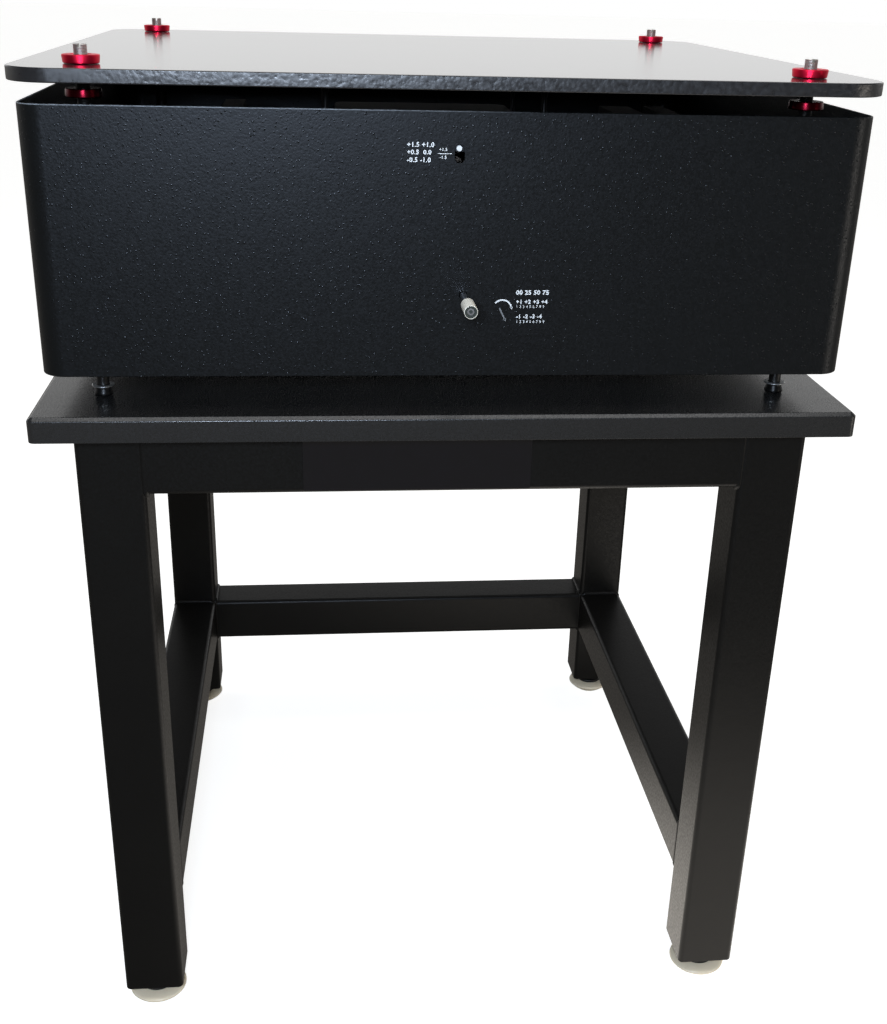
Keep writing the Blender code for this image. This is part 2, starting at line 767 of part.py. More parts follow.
def build_gear_bracket(isolator):
    bm = bmesh.new()
    low = base_top + seat_gap
    centre = (0, bracket_depth / 2 - bracket_front_reach)
    outline = rounded_rectangle(bracket_width, bracket_depth, bracket_corner_radius, centre=centre)
    add_prism(bm, outline, 0, bracket_base_thickness)
    place = (adjuster_x, 0, low)
    bracket = make_object("gear_bracket", bm, plain_aluminium, isolator, place)
    boss = bmesh.new()
    boss_high = gear_hub_bottom - seat_gap - low
    add_prism(boss, circle(bracket_boss_radius), bracket_base_thickness / 2, boss_high)
    combine(bracket, boss, "UNION")
    wall = bmesh.new()
    shaft_height = axis_height - low
    crown = bracket_wall_width / 2
    outline = arc(bracket_crown_radius, 0, math.pi, corner_steps * 2, (0, shaft_height))
    outline += [(-crown, bracket_base_thickness / 2), (crown, bracket_base_thickness / 2)]
    wall_back = -collar_front - seat_gap
    add_prism(wall, outline, wall_back - bracket_wall_thickness, wall_back, upright_along_y)
    combine(bracket, wall, "UNION")
    bores = bmesh.new()
    screw_bore = circle(screw_journal_radius + seat_gap, bore_sides)
    add_prism(bores, screw_bore, -cut_overrun, boss_high + cut_overrun)
    shaft_bore = circle(shaft_radius + seat_gap, bore_sides, (0, shaft_height))
    wall_front = wall_back - bracket_wall_thickness
    add_prism(bores, shaft_bore, wall_front - cut_overrun, wall_back + cut_overrun, upright_along_y)
    combine(bracket, bores)


def build_spring_seat(isolator):
    # A disc with an ear that the guide rod keeps from turning, and a threaded boss
    bm = bmesh.new()
    ear_angle = math.acos(seat_ear_radius / seat_radius)
    outline = arc(seat_ear_radius, 0, math.pi, corner_steps * 2, (0, rod_offset))
    outline += arc(seat_radius, math.pi - ear_angle, 2 * math.pi + ear_angle, round_sides)
    add_prism(bm, outline, 0, seat_thickness)
    seat = make_object("spring_seat", bm, plain_steel, isolator, (adjuster_x, 0, seat_height))
    boss = bmesh.new()
    add_prism(boss, circle(seat_boss_radius), seat_thickness / 2, seat_thickness + seat_boss_height)
    combine(seat, boss, "UNION")
    bores = bmesh.new()
    screw_bore = circle(screw_radius + seat_gap, bore_sides)
    add_prism(bores, screw_bore, -cut_overrun, seat_thickness + seat_boss_height + cut_overrun)
    rod_bore = circle(rod_radius + seat_gap, pin_sides, (0, rod_offset))
    add_prism(bores, rod_bore, -cut_overrun, seat_thickness + cut_overrun)
    combine(seat, bores)


def build_guide_rod(isolator):
    bm = bmesh.new()
    low = base_top - rod_seat_depth + seat_gap
    add_prism(bm, circle(rod_radius, pin_sides), 0, rod_top - low)
    make_object("guide_rod", bm, plain_steel, isolator, (adjuster_x, rod_offset, low))


def spring_points():
    # One dead turn at each end at close pitch, the active turns share what height is left
    bottom = seat_height + seat_thickness + seat_gap + spring_wire_radius
    top = hub_bottom + hub_pocket_depth - seat_gap - spring_wire_radius
    close_pitch = 2 * spring_wire_radius + spring_end_clearance
    open_pitch = (top - bottom - 2 * spring_end_turns * close_pitch) / spring_active_turns
    turns = 2 * spring_end_turns + spring_active_turns
    points = []
    for step in range(turns * spring_turn_points + 1):
        turn = step / spring_turn_points
        low_part = min(turn, spring_end_turns)
        high_part = max(turn - spring_end_turns - spring_active_turns, 0)
        open_part = turn - low_part - high_part
        height = bottom + (low_part + high_part) * close_pitch + open_part * open_pitch
        angle = 2 * math.pi * turn
        x = adjuster_x + spring_mean_radius * math.cos(angle)
        points.append(Vector((x, spring_mean_radius * math.sin(angle), height)))
    return points


def build_support_spring(isolator):
    points = spring_points()
    least = min(
        (one - other).length - 2 * spring_wire_radius
        for i, one in enumerate(points)
        for other in points[i + spring_turn_points // 2:]
    )
    print("least gap between the spring's turns, mm:", round(least / 0.001, 2))
    curve = bpy.data.curves.new("support_spring", "CURVE")
    curve.dimensions = "3D"
    curve.bevel_depth = spring_wire_radius
    curve.bevel_resolution = 1
    curve.use_fill_caps = True
    spline = curve.splines.new("POLY")
    spline.points.add(len(points) - 1)
    for target, point in zip(spline.points, points):
        target.co = (*point, 1)
    spring = bpy.data.objects.new("support_spring", curve)
    bpy.context.collection.objects.link(spring)
    spring.parent = isolator
    curve.materials.append(make_material("support_spring", spring_steel))


# Negative-stiffness mechanism

def add_flexure_slot(bm, face_x, direction, height):
    # A slot across Y that opens at face_x, for a flexure's end
    length = flexure_seat_depth + cut_overrun
    middle = face_x + direction * (flexure_seat_depth - cut_overrun) / 2
    outline = [
        (middle - length / 2, height - flexure_thickness / 2 - seat_gap),
        (middle + length / 2, height - flexure_thickness / 2 - seat_gap),
        (middle + length / 2, height + flexure_thickness / 2 + seat_gap),
        (middle - length / 2, height + flexure_thickness / 2 + seat_gap),
    ]
    half = flexure_end_width / 2 + seat_gap
    add_prism(bm, outline, -half, half, upright_along_y)


def build_hub(isolator):
    bm = bmesh.new()
    outline = rounded_rectangle(hub_width, hub_depth, hub_corner_radius)
    add_prism(bm, outline, -hub_thickness / 2, hub_thickness / 2)
    hub = make_object("hub", bm, plain_aluminium, isolator, (0, 0, hub_centre_height))
    soften(hub, hub_edge_radius, 1)
    cuts = bmesh.new()
    add_flexure_slot(cuts, -hub_width / 2, 1, 0)
    add_flexure_slot(cuts, hub_width / 2, -1, 0)
    pocket = circle(hub_pocket_radius, centre=(adjuster_x, 0))
    pocket_top = hub_pocket_depth - hub_thickness / 2
    add_prism(cuts, pocket, -hub_thickness / 2 - cut_overrun, pocket_top)
    combine(hub, cuts)


def build_flexure(isolator, name, inner_x, outer_x):
    # The leaf is wide in its two seats and narrower between them
    bm = bmesh.new()
    direction = 1 if outer_x > inner_x else -1
    wide = flexure_end_width / 2
    waist = flexure_waist_width / 2
    ends = flexure_seat_depth
    taper = flexure_seat_depth + flexure_taper_length
    length = abs(outer_x - inner_x)
    half = [(0, wide), (ends, wide), (taper, waist), (length - taper, waist), (length - ends, wide), (length, wide)]
    outline = [(inner_x + direction * x, y) for x, y in half]
    outline += [(inner_x + direction * x, -y) for x, y in reversed(half)]
    add_prism(bm, outline, -flexure_thickness / 2, flexure_thickness / 2)
    make_object(name, bm, spring_steel, isolator, (0, 0, hub_centre_height))


def build_flexures(isolator):
    hub_seat = hub_width / 2 - flexure_seat_depth + seat_gap
    left_seat = left_post_face + flexure_seat_depth - seat_gap
    right_seat = block_face + flexure_seat_depth - seat_gap
    build_flexure(isolator, "flexure_left", -hub_seat, -left_seat)
    build_flexure(isolator, "flexure_right", hub_seat, right_seat)


def post_outline(face, with_ledge):
    # Drawn as (distance from the middle, height) above the base plate
    low = base_top + seat_gap
    back = face + post_thickness
    foot_top = low + post_foot_thickness
    outline = [
        (face - post_foot_inner_length, low),
        (back + post_foot_length, low),
        (back + post_foot_length, foot_top),
        (back, foot_top + post_gusset_height),
        (back, post_top_height),
        (face, post_top_height),
    ]
    if with_ledge:
        ledge_top = block_underside_height
        ledge_low = ledge_top - ledge_thickness
        inner = face - ledge_inner_reach
        outline += [(face, ledge_top), (inner, ledge_top), (inner, ledge_low), (face, ledge_low - ledge_inner_reach)]
    return outline + [(face, foot_top), (face - post_foot_inner_length, foot_top)]


def build_left_post(isolator):
    bm = bmesh.new()
    outline = [(-x, z) for x, z in post_outline(left_post_face, False)]
    add_prism(bm, outline, -post_depth / 2, post_depth / 2, upright_along_y)
    post = make_object("flexure_post_left", bm, plain_aluminium, isolator)
    slot = bmesh.new()
    add_flexure_slot(slot, -left_post_face, -1, hub_centre_height)
    combine(post, slot)


def build_right_post(isolator):
    bm = bmesh.new()
    outline = post_outline(right_post_face, True)
    add_prism(bm, outline, -post_depth / 2, post_depth / 2, upright_along_y)
    post = make_object("flexure_post_right", bm, plain_aluminium, isolator)
    bore = bmesh.new()
    bore_outline = circle(key_screw_radius + seat_gap, bore_sides, (0, hub_centre_height))
    bore_end = right_post_face + post_thickness + cut_overrun
    add_prism(bore, bore_outline, right_post_face - cut_overrun, bore_end, upright_along_x)
    combine(post, bore)


def build_thrust_block(isolator):
    bm = bmesh.new()
    low = block_underside_height + seat_gap
    outline = [
        (block_face, low),
        (block_face + block_length, low),
        (block_face + block_length, post_top_height),
        (block_face, post_top_height),
    ]
    add_prism(bm, outline, -block_depth / 2, block_depth / 2, upright_along_y)
    block = make_object("thrust_block", bm, plain_steel, isolator)
    cuts = bmesh.new()
    add_flexure_slot(cuts, block_face, 1, hub_centre_height)
    bore = circle(key_screw_radius + seat_gap, bore_sides, (0, hub_centre_height))
    bore_start = key_screw_inner_end - thrust_travel - seat_gap
    add_prism(cuts, bore, bore_start, block_face + block_length + cut_overrun, upright_along_x)
    combine(block, cuts)


def build_stiffness_screw(isolator):
    bm = bmesh.new()
    collar_end = right_post_face - seat_gap
    head_start = right_post_face + post_thickness + seat_gap
    head_end = head_start + key_head_length
    profile = [
        (0, key_screw_inner_end),
        (key_screw_radius, key_screw_inner_end),
        (key_screw_radius, collar_end - key_collar_length),
        (key_collar_radius, collar_end - key_collar_length),
        (key_collar_radius, collar_end),
        (key_screw_radius, collar_end),
        (key_screw_radius, head_start),
        (key_head_radius, head_start),
        (key_head_radius, head_end),
        (0, head_end),
    ]
    add_lathe(bm, profile, bore_sides)
    place = (0, 0, hub_centre_height)
    screw = make_object("stiffness_screw", bm, plain_steel, isolator, place, (0, math.pi / 2, 0))
    socket = bmesh.new()
    outline = circle(key_socket_radius, socket_sides)
    add_prism(socket, outline, head_end - key_socket_depth, head_end + cut_overrun)
    combine(screw, socket)


# Carriage frame, beam columns and plate frame

def build_carriage_frame(isolator):
    bm = bmesh.new()
    outer = rounded_rectangle(carriage_size, carriage_size, carriage_corner_radius)
    inner = rounded_rectangle(carriage_opening, carriage_opening, carriage_opening_radius)
    add_shell(bm, [(outer, 0), (outer, carriage_thickness), (inner, carriage_thickness), (inner, 0)])
    place = (0, 0, carriage_bottom)
    frame = make_object("carriage_frame", bm, plain_aluminium, isolator, place)
    hangers = bmesh.new()
    sockets = bmesh.new()
    hanger_top = hub_bottom - seat_gap - carriage_bottom
    for x, y in column_places:
        centre = (x * hanger_offset / column_offset, y * hanger_offset / column_offset)
        hanger = circle(hanger_radius, pin_sides, centre)
        add_prism(hangers, hanger, carriage_thickness / 2, hanger_top)
        socket = circle(column_radius + seat_gap, pin_sides, (x, y))
        socket_low = carriage_thickness - column_socket_depth
        add_prism(sockets, socket, socket_low, carriage_thickness + cut_overrun)
    combine(frame, hangers, "UNION")
    combine(frame, sockets)


def build_columns(isolator):
    low = carriage_top - column_socket_depth + seat_gap
    high = plate_frame_bottom + column_socket_depth - seat_gap
    length = high - low
    taper = column_end_length + column_radius
    profile = [
        (0, 0),
        (column_radius, 0),
        (column_radius, column_end_length),
        (column_waist_radius, taper),
        (column_waist_radius, length - taper),
        (column_radius, length - column_end_length),
        (column_radius, length),
        (0, length),
    ]
    for corner, (x, y) in zip(("front_left", "front_right", "rear_left", "rear_right"), column_places):
        bm = bmesh.new()
        add_lathe(bm, profile, pin_sides)
        make_object(f"column_{corner}", bm, spring_steel, isolator, (x, y, low))


def build_plate_frame(isolator):
    bm = bmesh.new()
    outer = rounded_rectangle(plate_frame_size, plate_frame_size, carriage_corner_radius)
    inner = rounded_rectangle(plate_frame_opening, plate_frame_opening, carriage_opening_radius)
    add_shell(bm, [(outer, 0), (outer, plate_frame_thickness), (inner, plate_frame_thickness), (inner, 0)])
    place = (0, 0, plate_frame_bottom)
    frame = make_object("plate_frame", bm, plain_aluminium, isolator, place)
    sockets = bmesh.new()
    for centre in column_places:
        socket = circle(column_radius + seat_gap, pin_sides, centre)
        add_prism(sockets, socket, -cut_overrun, column_socket_depth)
    combine(frame, sockets)


# Height indicator

def build_indicator(isolator):
    bm = bmesh.new()
    height = hub_top + seat_gap
    back = -hub_depth / 2 + arm_overlap
    wall_inside = cover_front + cover_wall
    front = wall_inside + arm_wall_clearance
    half = arm_width / 2
    add_prism(bm, [(-half, front), (half, front), (half, back), (-half, back)], height, height + arm_thickness)
    arm = make_object("indicator_arm", bm, black_powder_coat, isolator)
    pin = bmesh.new()
    centre = (0, height + arm_thickness / 2)
    dot_back = cover_front + dot_set_back + dot_thickness
    pin_outline = circle(arm_pin_radius, pin_sides, centre)
    add_prism(pin, pin_outline, dot_back + seat_gap, front + arm_thickness, upright_along_y)
    combine(arm, pin, "UNION")
    dot = bmesh.new()
    add_prism(dot, circle(dot_radius, centre=centre), dot_back - dot_thickness, dot_back, upright_along_y)
    make_object("indicator_dot", dot, white_paint, isolator)


def build_all():
    stand = make_empty("stand", (0, stand_centre_y, 0))
    isolator = make_empty("isolator", (0, stand_centre_y - isolator_forward, stand_height))
    build_stand_top(stand)
    build_rails(stand)
    for corner, place in leg_places.items():
        build_leg(stand, corner, place)
        build_stand_foot(stand, corner, place)
    build_base_plate(isolator)
    build_cover(isolator)
    build_payload_plate(isolator)
    lower_nut_z = plate_underside - plate_travel - seat_gap - nut_height
    for corner, place in stud_places.items():
        build_pad(isolator, corner, pad_places[corner])
        build_stud(isolator, corner, place)
        build_nut(isolator, f"upper_nut_{corner}", place, plate_top + seat_gap, True)
        build_nut(isolator, f"lower_nut_{corner}", place, lower_nut_z, False)
    build_bevel_gear(isolator)
    build_pinion(isolator)
    build_crank_shaft(isolator)
    build_sleeve(isolator)
    build_lead_screw(isolator)
    build_gear_bracket(isolator)
    build_spring_seat(isolator)
    build_guide_rod(isolator)
    build_support_spring(isolator)
    build_hub(isolator)
    build_flexures(isolator)
    build_left_post(isolator)
    build_right_post(isolator)
    build_thrust_block(isolator)
    build_stiffness_screw(isolator)
    build_carriage_frame(isolator)
    build_columns(isolator)
    build_plate_frame(isolator)
    build_indicator(isolator)


build_all()
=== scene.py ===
import math

import bmesh
import bpy
from mathutils import Matrix, Vector


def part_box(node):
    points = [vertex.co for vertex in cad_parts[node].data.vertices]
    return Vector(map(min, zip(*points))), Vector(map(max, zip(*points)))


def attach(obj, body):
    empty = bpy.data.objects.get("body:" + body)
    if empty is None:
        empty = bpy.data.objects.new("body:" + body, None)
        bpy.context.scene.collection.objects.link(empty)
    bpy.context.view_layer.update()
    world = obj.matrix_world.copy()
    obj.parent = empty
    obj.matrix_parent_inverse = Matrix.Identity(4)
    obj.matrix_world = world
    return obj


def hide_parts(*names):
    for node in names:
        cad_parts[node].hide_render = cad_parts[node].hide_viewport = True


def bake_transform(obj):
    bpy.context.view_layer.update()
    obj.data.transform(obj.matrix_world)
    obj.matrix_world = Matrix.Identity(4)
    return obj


# Vibration isolation workstation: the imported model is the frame, and finer pieces go round it
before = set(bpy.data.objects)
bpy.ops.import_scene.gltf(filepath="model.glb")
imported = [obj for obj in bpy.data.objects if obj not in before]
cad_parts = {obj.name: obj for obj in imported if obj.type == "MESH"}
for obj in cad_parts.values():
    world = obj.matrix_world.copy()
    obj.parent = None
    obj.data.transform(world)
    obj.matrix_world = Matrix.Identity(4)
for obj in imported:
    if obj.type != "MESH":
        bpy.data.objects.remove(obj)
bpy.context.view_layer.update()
print("frame loaded with", len(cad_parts), "nodes")

corners = ("front_left", "front_right", "rear_left", "rear_right")
upright = Vector((0, 0, 1))
quarter = math.pi / 2
near = 0.0001          # an edge this close to a level lies on it
merged = 0.000001      # points this close become one


# Camera and light

camera = {
    "place": (-0.10002, -1.20018, 0.87569),
    "tiltDown": 23.93584,    # degrees below the horizon
    "turnRight": 6.17788,
    "lean": 1.57434,
    "lens": 45.322,          # on a 36 mm long side
    "shift": (-0.0040017, 0.0302707),
    "clip": (0.01, 200),
}
lights = {
    "key_light": {
        "place": (-0.19, -1.36, 1.00), "aim": (-0.05, -0.28, 0.72), "size": (0.26, 0.20),
        "power": 15, "colour": "#d9e9ff",
    },
    "top_light": {
        "place": (0.10, 0.05, 2.40), "aim": (0.10, 0.05, 0), "size": (1.8, 1.9),
        "power": 28, "colour": "#ffffff",
    },
    "side_light": {
        "place": (1.55, -1.15, 0.45), "aim": (0.15, -0.25, 0.15), "size": (0.6, 0.6),
        "power": 5, "colour": "#fff6ea",
    },
}
# Reflections see a white wall behind the stand up to a height, and a dim room elsewhere
surroundings = {
    "ambient": 0.28, "wall": 1.1, "room": 0.13, "wallLow": 0.24, "wallHigh": 0.41,
    "roomSide": -0.3, "wallSide": 0.5,
}
# In reflections the floor is a painted pool of light, an emission: bright under the stand's right side, where
# the lamps fall, and dim further off
floorLook = {
    "width": 60, "colour": "#d0d0cc", "roughness": 0.8, "specular": 0.2, "lift": 0.80,
    "pool": (0.30, -0.34, 0), "poolCore": 0.15, "poolRadius": 0.58, "poolGlow": 2.4,
    "poolColour": "#fff8ee", "dim": 0.25,
}


def placeCamera():
    data = bpy.data.cameras.new("camera")
    data.lens = camera["lens"]
    data.shift_x, data.shift_y = camera["shift"]
    data.clip_start, data.clip_end = camera["clip"]
    view = bpy.data.objects.new("camera", data)
    bpy.context.scene.collection.objects.link(view)
    turn = Matrix.Rotation(-math.radians(camera["turnRight"]), 4, "Z")
    tilt = Matrix.Rotation(math.radians(90 - camera["tiltDown"]), 4, "X")
    lean = Matrix.Rotation(math.radians(camera["lean"]), 4, "Z")
    view.matrix_world = Matrix.Translation(camera["place"]) @ turn @ tilt @ lean
    bpy.context.scene.camera = view


def placeLight(name, light):
    data = bpy.data.lights.new(name, "AREA")
    data.shape = "RECTANGLE"
    data.size, data.size_y = light["size"]
    data.energy = light["power"]
    data.color = linear(light["colour"])[:3]
    lamp = bpy.data.objects.new(name, data)
    bpy.context.scene.collection.objects.link(lamp)
    lamp.location = light["place"]
    aim = Vector(light["aim"]) - Vector(light["place"])
    lamp.rotation_euler = aim.to_track_quat("-Z", "Y").to_euler()


# Nodes and selection

def linear(code):
    shares = [int(code[i:i + 2], 16) / 255 for i in (1, 3, 5)]
    return (*[s / 12.92 if s <= 0.04045 else ((s + 0.055) / 1.055) ** 2.4 for s in shares], 1)


def feed(tree, node, inputs):
    # A socket is linked, a node is linked by its first output, and anything else is set
    for name, value in inputs.items():
        if isinstance(value, bpy.types.Node):
            value = value.outputs[0]
        if isinstance(value, bpy.types.NodeSocket):
            tree.links.new(value, node.inputs[name])
        else:
            node.inputs[name].default_value = value


def addNode(tree, kind, inputs=None, **settings):
    node = tree.nodes.new("ShaderNode" + kind)
    for name, value in settings.items():
        setattr(node, name, value)
    feed(tree, node, inputs or {})
    return node


def startMaterial(name, sockets):
    material = bpy.data.materials.new(name)
    material.use_nodes = True
    shader = material.node_tree.nodes["Principled BSDF"]
    feed(material.node_tree, shader, sockets)
    return material, material.node_tree, shader


def deselectAll():
    if bpy.context.mode != "OBJECT":
        bpy.ops.object.mode_set(mode="OBJECT")
    bpy.ops.object.select_all(action="DESELECT")


def makeActive(piece):
    deselectAll()
    piece.select_set(True)
    bpy.context.view_layer.objects.active = piece


def startEditing(piece):
    makeActive(piece)
    bpy.ops.object.mode_set(mode="EDIT")


def stopEditing():
    bpy.ops.object.mode_set(mode="OBJECT")


def selectAll():
    bpy.ops.mesh.select_all(action="SELECT")


def selectEdges(test):
    # In edit mode, by each edge's middle and direction
    bpy.ops.mesh.select_mode(type="EDGE")
    bpy.ops.mesh.select_all(action="DESELECT")
    data = bpy.context.object.data
    shape = bmesh.from_edit_mesh(data)
    for edge in shape.edges:
        start, end = (vert.co for vert in edge.verts)
        if test((start + end) / 2, (end - start).normalized()):
            edge.select_set(True)
    bmesh.update_edit_mesh(data)


def selectFaces(test):
    # In edit mode, by each face's middle and normal
    bpy.ops.mesh.select_mode(type="FACE")
    bpy.ops.mesh.select_all(action="DESELECT")
    data = bpy.context.object.data
    shape = bmesh.from_edit_mesh(data)
    for face in shape.faces:
        if test(face.calc_center_median(), face.normal):
            face.select_set(True)
    bmesh.update_edit_mesh(data)


def along(axis):
    return lambda middle, direction: abs(direction[axis]) > 0.999


def onLevels(*levels):
    return lambda middle, direction: (
        abs(direction.z) < 0.001 and min(abs(middle.z - level) for level in levels) < near)


def middleOf(node):
    low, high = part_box(node)
    return (low + high) / 2


# Modelling steps

def addBlock(name, low, high):
    deselectAll()
    low, high = Vector(low), Vector(high)
    bpy.ops.mesh.primitive_cube_add(size=1, location=(low + high) / 2, scale=high - low)
    block = bpy.context.object
    block.name = block.data.name = name
    bpy.ops.object.transform_apply(location=True, rotation=True, scale=True)
    return block


def roundEdges(piece, test, radius, segments):
    startEditing(piece)
    selectEdges(test)
    bpy.ops.mesh.bevel(offset=radius, segments=segments, affect="EDGES")
    stopEditing()


def faceOutwards():
    # In edit mode, and leaves it
    selectAll()
    bpy.ops.mesh.normals_make_consistent(inside=False)
    stopEditing()


def addTurned(name, profile, sides, ring=False):
    # A circle at the first (radius, height), extruded and scaled to the next ones. A ring joins its own start
    deselectAll()
    radius, height = profile[0]
    bpy.ops.mesh.primitive_circle_add(vertices=sides, radius=radius, location=(0, 0, height))
    piece = bpy.context.object
    piece.name = piece.data.name = name
    bpy.ops.object.transform_apply(location=True)
    startEditing(piece)
    bpy.ops.mesh.select_mode(type="EDGE")
    selectAll()
    if not ring:
        bpy.ops.mesh.edge_face_add()
        selectEdges(lambda middle, direction: True)
    steps = profile[1:] + profile[:1] if ring else profile[1:]
    for newRadius, newHeight in steps:
        bpy.ops.mesh.extrude_edges_move(TRANSFORM_OT_translate={"value": (0, 0, newHeight - height)})
        share = newRadius / radius
        bpy.ops.transform.resize(value=(share, share, 1), center_override=(0, 0, newHeight))
        radius, height = newRadius, newHeight
    if not ring:
        bpy.ops.mesh.edge_face_add()
    selectAll()
    bpy.ops.mesh.remove_doubles(threshold=merged)
    faceOutwards()
    return piece


def applyModifier(piece, kind, **settings):
    modifier = piece.modifiers.new(kind.lower(), kind)
    for name, value in settings.items():
        setattr(modifier, name, value)
    makeActive(piece)
    bpy.ops.object.modifier_apply(modifier=modifier.name)


def cutWith(piece, cutter):
    applyModifier(piece, "BOOLEAN", object=cutter, operation="DIFFERENCE", solver="EXACT")
    bpy.data.objects.remove(cutter)


def place(piece, location, turn=(0, 0, 0)):
    makeActive(piece)
    piece.rotation_euler = turn
    piece.location = location
    bpy.ops.object.transform_apply(location=True, rotation=True, scale=True)


def drillHole(piece, radius, span, sides, spot, turn=(0, 0, 0)):
    # A round cutter between two heights, turned and put in its place
    drill = addTurned("drill", [(radius, height) for height in span], sides)
    place(drill, spot, turn)
    cutWith(piece, drill)


def keepOwnPlace(piece):
    # The finish of a turned piece reads where each point lies from the piece's own axis
    store = piece.data.attributes.new("ownPlace", "FLOAT_VECTOR", "POINT")
    for point, vertex in zip(store.data, piece.data.vertices):
        point.vector = vertex.co


def copyOf(piece, name, shift):
    twin = piece.copy()
    twin.data = piece.data.copy()
    twin.name = twin.data.name = name
    bpy.context.scene.collection.objects.link(twin)
    twin.data.transform(Matrix.Translation(shift))
    return twin


def joinPieces(name, pieces):
    makeActive(pieces[0])
    for piece in pieces[1:]:
        piece.select_set(True)
    bpy.ops.object.join()
    joined = bpy.context.object
    joined.name = joined.data.name = name
    return joined


def finishPiece(piece, finish, body, replaced=(), angle=32):
    makeActive(piece)
    bpy.ops.object.shade_smooth_by_angle(angle=math.radians(angle))
    # Flat faces stay flat up to their rounded edges
    applyModifier(piece, "WEIGHTED_NORMAL", keep_sharp=True)
    piece.data.materials.clear()
    piece.data.materials.append(finishes[finish])
    if isinstance(body, tuple):
        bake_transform(piece)    # two bodies that a joint joins, and where the bend starts and ends
    else:
        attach(piece, body)
    if replaced:
        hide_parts(*replaced)


def finishAtCorners(piece, name, node, finish, body, replacing=True):
    # The piece stands at the front left, and a copy of it goes to each other corner. It is finished last, so
    # that the copies carry nothing of it over
    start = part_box(node.format(corners[0]))[0]
    for corner in corners[1:] + corners[:1]:
        spot = node.format(corner)
        twin = piece if corner == corners[0] else copyOf(piece, name.format(corner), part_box(spot)[0] - start)
        finishPiece(twin, finish, body.format(corner), [spot] if replacing else ())


# Finishes

noiseLow, noiseHigh = 0.3, 0.7    # nearly all of a noise texture lies between these

coats = {
    # Powder coat on sheet steel: near black with a fine grain, and scattered pimples that glint under a lamp
    "coverCoat": {
        "colour": "#0a0b0b", "patch": "#0d0e0e", "roughness": 0.38, "specular": 0.20, "tint": "#f4f8ff",
        "grain": 0.0015, "relief": 0.00010, "peel": 0.008, "peelRelief": 0.00004,
        "pimples": {"spacing": 0.0030, "radius": 0.0008, "height": 0.00017, "roughness": 0.17, "share": 0.75},
        # Pale upper rim: a painted highlight, fading towards the right
        "rim": {"colour": "#9ba1a6", "depth": 0.0008, "blend": 0.0003, "fadeFrom": -0.08, "fadeTo": 0.055},
    },
    # Heavy hammered powder coat on the thick plate: pebbles of some 3 mm that catch the light
    "plateCoat": {
        "colour": "#121214", "patch": "#18191c", "roughness": 0.35, "specular": 0.62,
        "grain": 0.0036, "relief": 0.00029, "peel": 0.011, "peelRelief": 0.00010,
        "levelTop": {"from": 0.0006, "to": 0.0001, "relief": 0.025, "gloss": 0.42},
        "smoothEnd": {"from": -0.262, "to": -0.205, "relief": 0.12},
    },
    # Satin black paint on welded steel tube: slightly brown, faint orange peel
    "standPaint": {
        "colour": "#0d0c0b", "patch": "#12110f", "roughness": 0.37, "specular": 0.15,
        "grain": 0.0022, "relief": 0.00005, "peel": 0.011, "peelRelief": 0.00010,
    },
    # Black laminate with a pebbled face and a rounded edge: a dull sheen, brighter along the edge
    "blackLaminate": {
        "colour": "#161616", "patch": "#1b1b1b", "roughness": 0.29, "specular": 0.58,
        "grain": 0.0012, "relief": 0.00004, "peel": 0.015, "peelRelief": 0.00006,
    },
    # Near black matt finish of the frames and blocks inside the casing, painted shade so that little shows
    # past the plate
    "insideShadeBlack": {
        "colour": "#070708", "patch": "#0a0a0b", "roughness": 0.62, "specular": 0.06,
        "grain": 0.0010, "relief": 0.00002, "peel": 0.012, "peelRelief": 0.00003,
    },
    # Black oxide on the isolator feet's screws, the beam columns and the glides' caps: dark, with a soft shine
    "blackOxide": {
        "colour": "#0d0c0b", "patch": "#141311", "roughness": 0.38, "specular": 0.35,
        "grain": 0.0011, "relief": 0.00002, "peel": 0.009, "peelRelief": 0.00002,
    },
    # Dark grey-green lining in the sleeve's hollow end, painted shade for the recess: dull, a little lighter
    # than the coat round it
    "recessShadeLining": {
        "colour": "#2b302b", "patch": "#353a34", "roughness": 0.45, "specular": 0.35,
        "grain": 0.0010, "relief": 0.00002, "peel": 0.006, "peelRelief": 0.00002,
    },
    # Black rubber-like mould of the isolator's feet
    "footRubber": {
        "colour": "#060606", "patch": "#090909", "roughness": 0.34, "specular": 0.14,
        "grain": 0.0012, "relief": 0.00003, "peel": 0.010, "peelRelief": 0.00002,
    },
}
coatSpread = {"patchScale": 14, "roughness": 0.08}


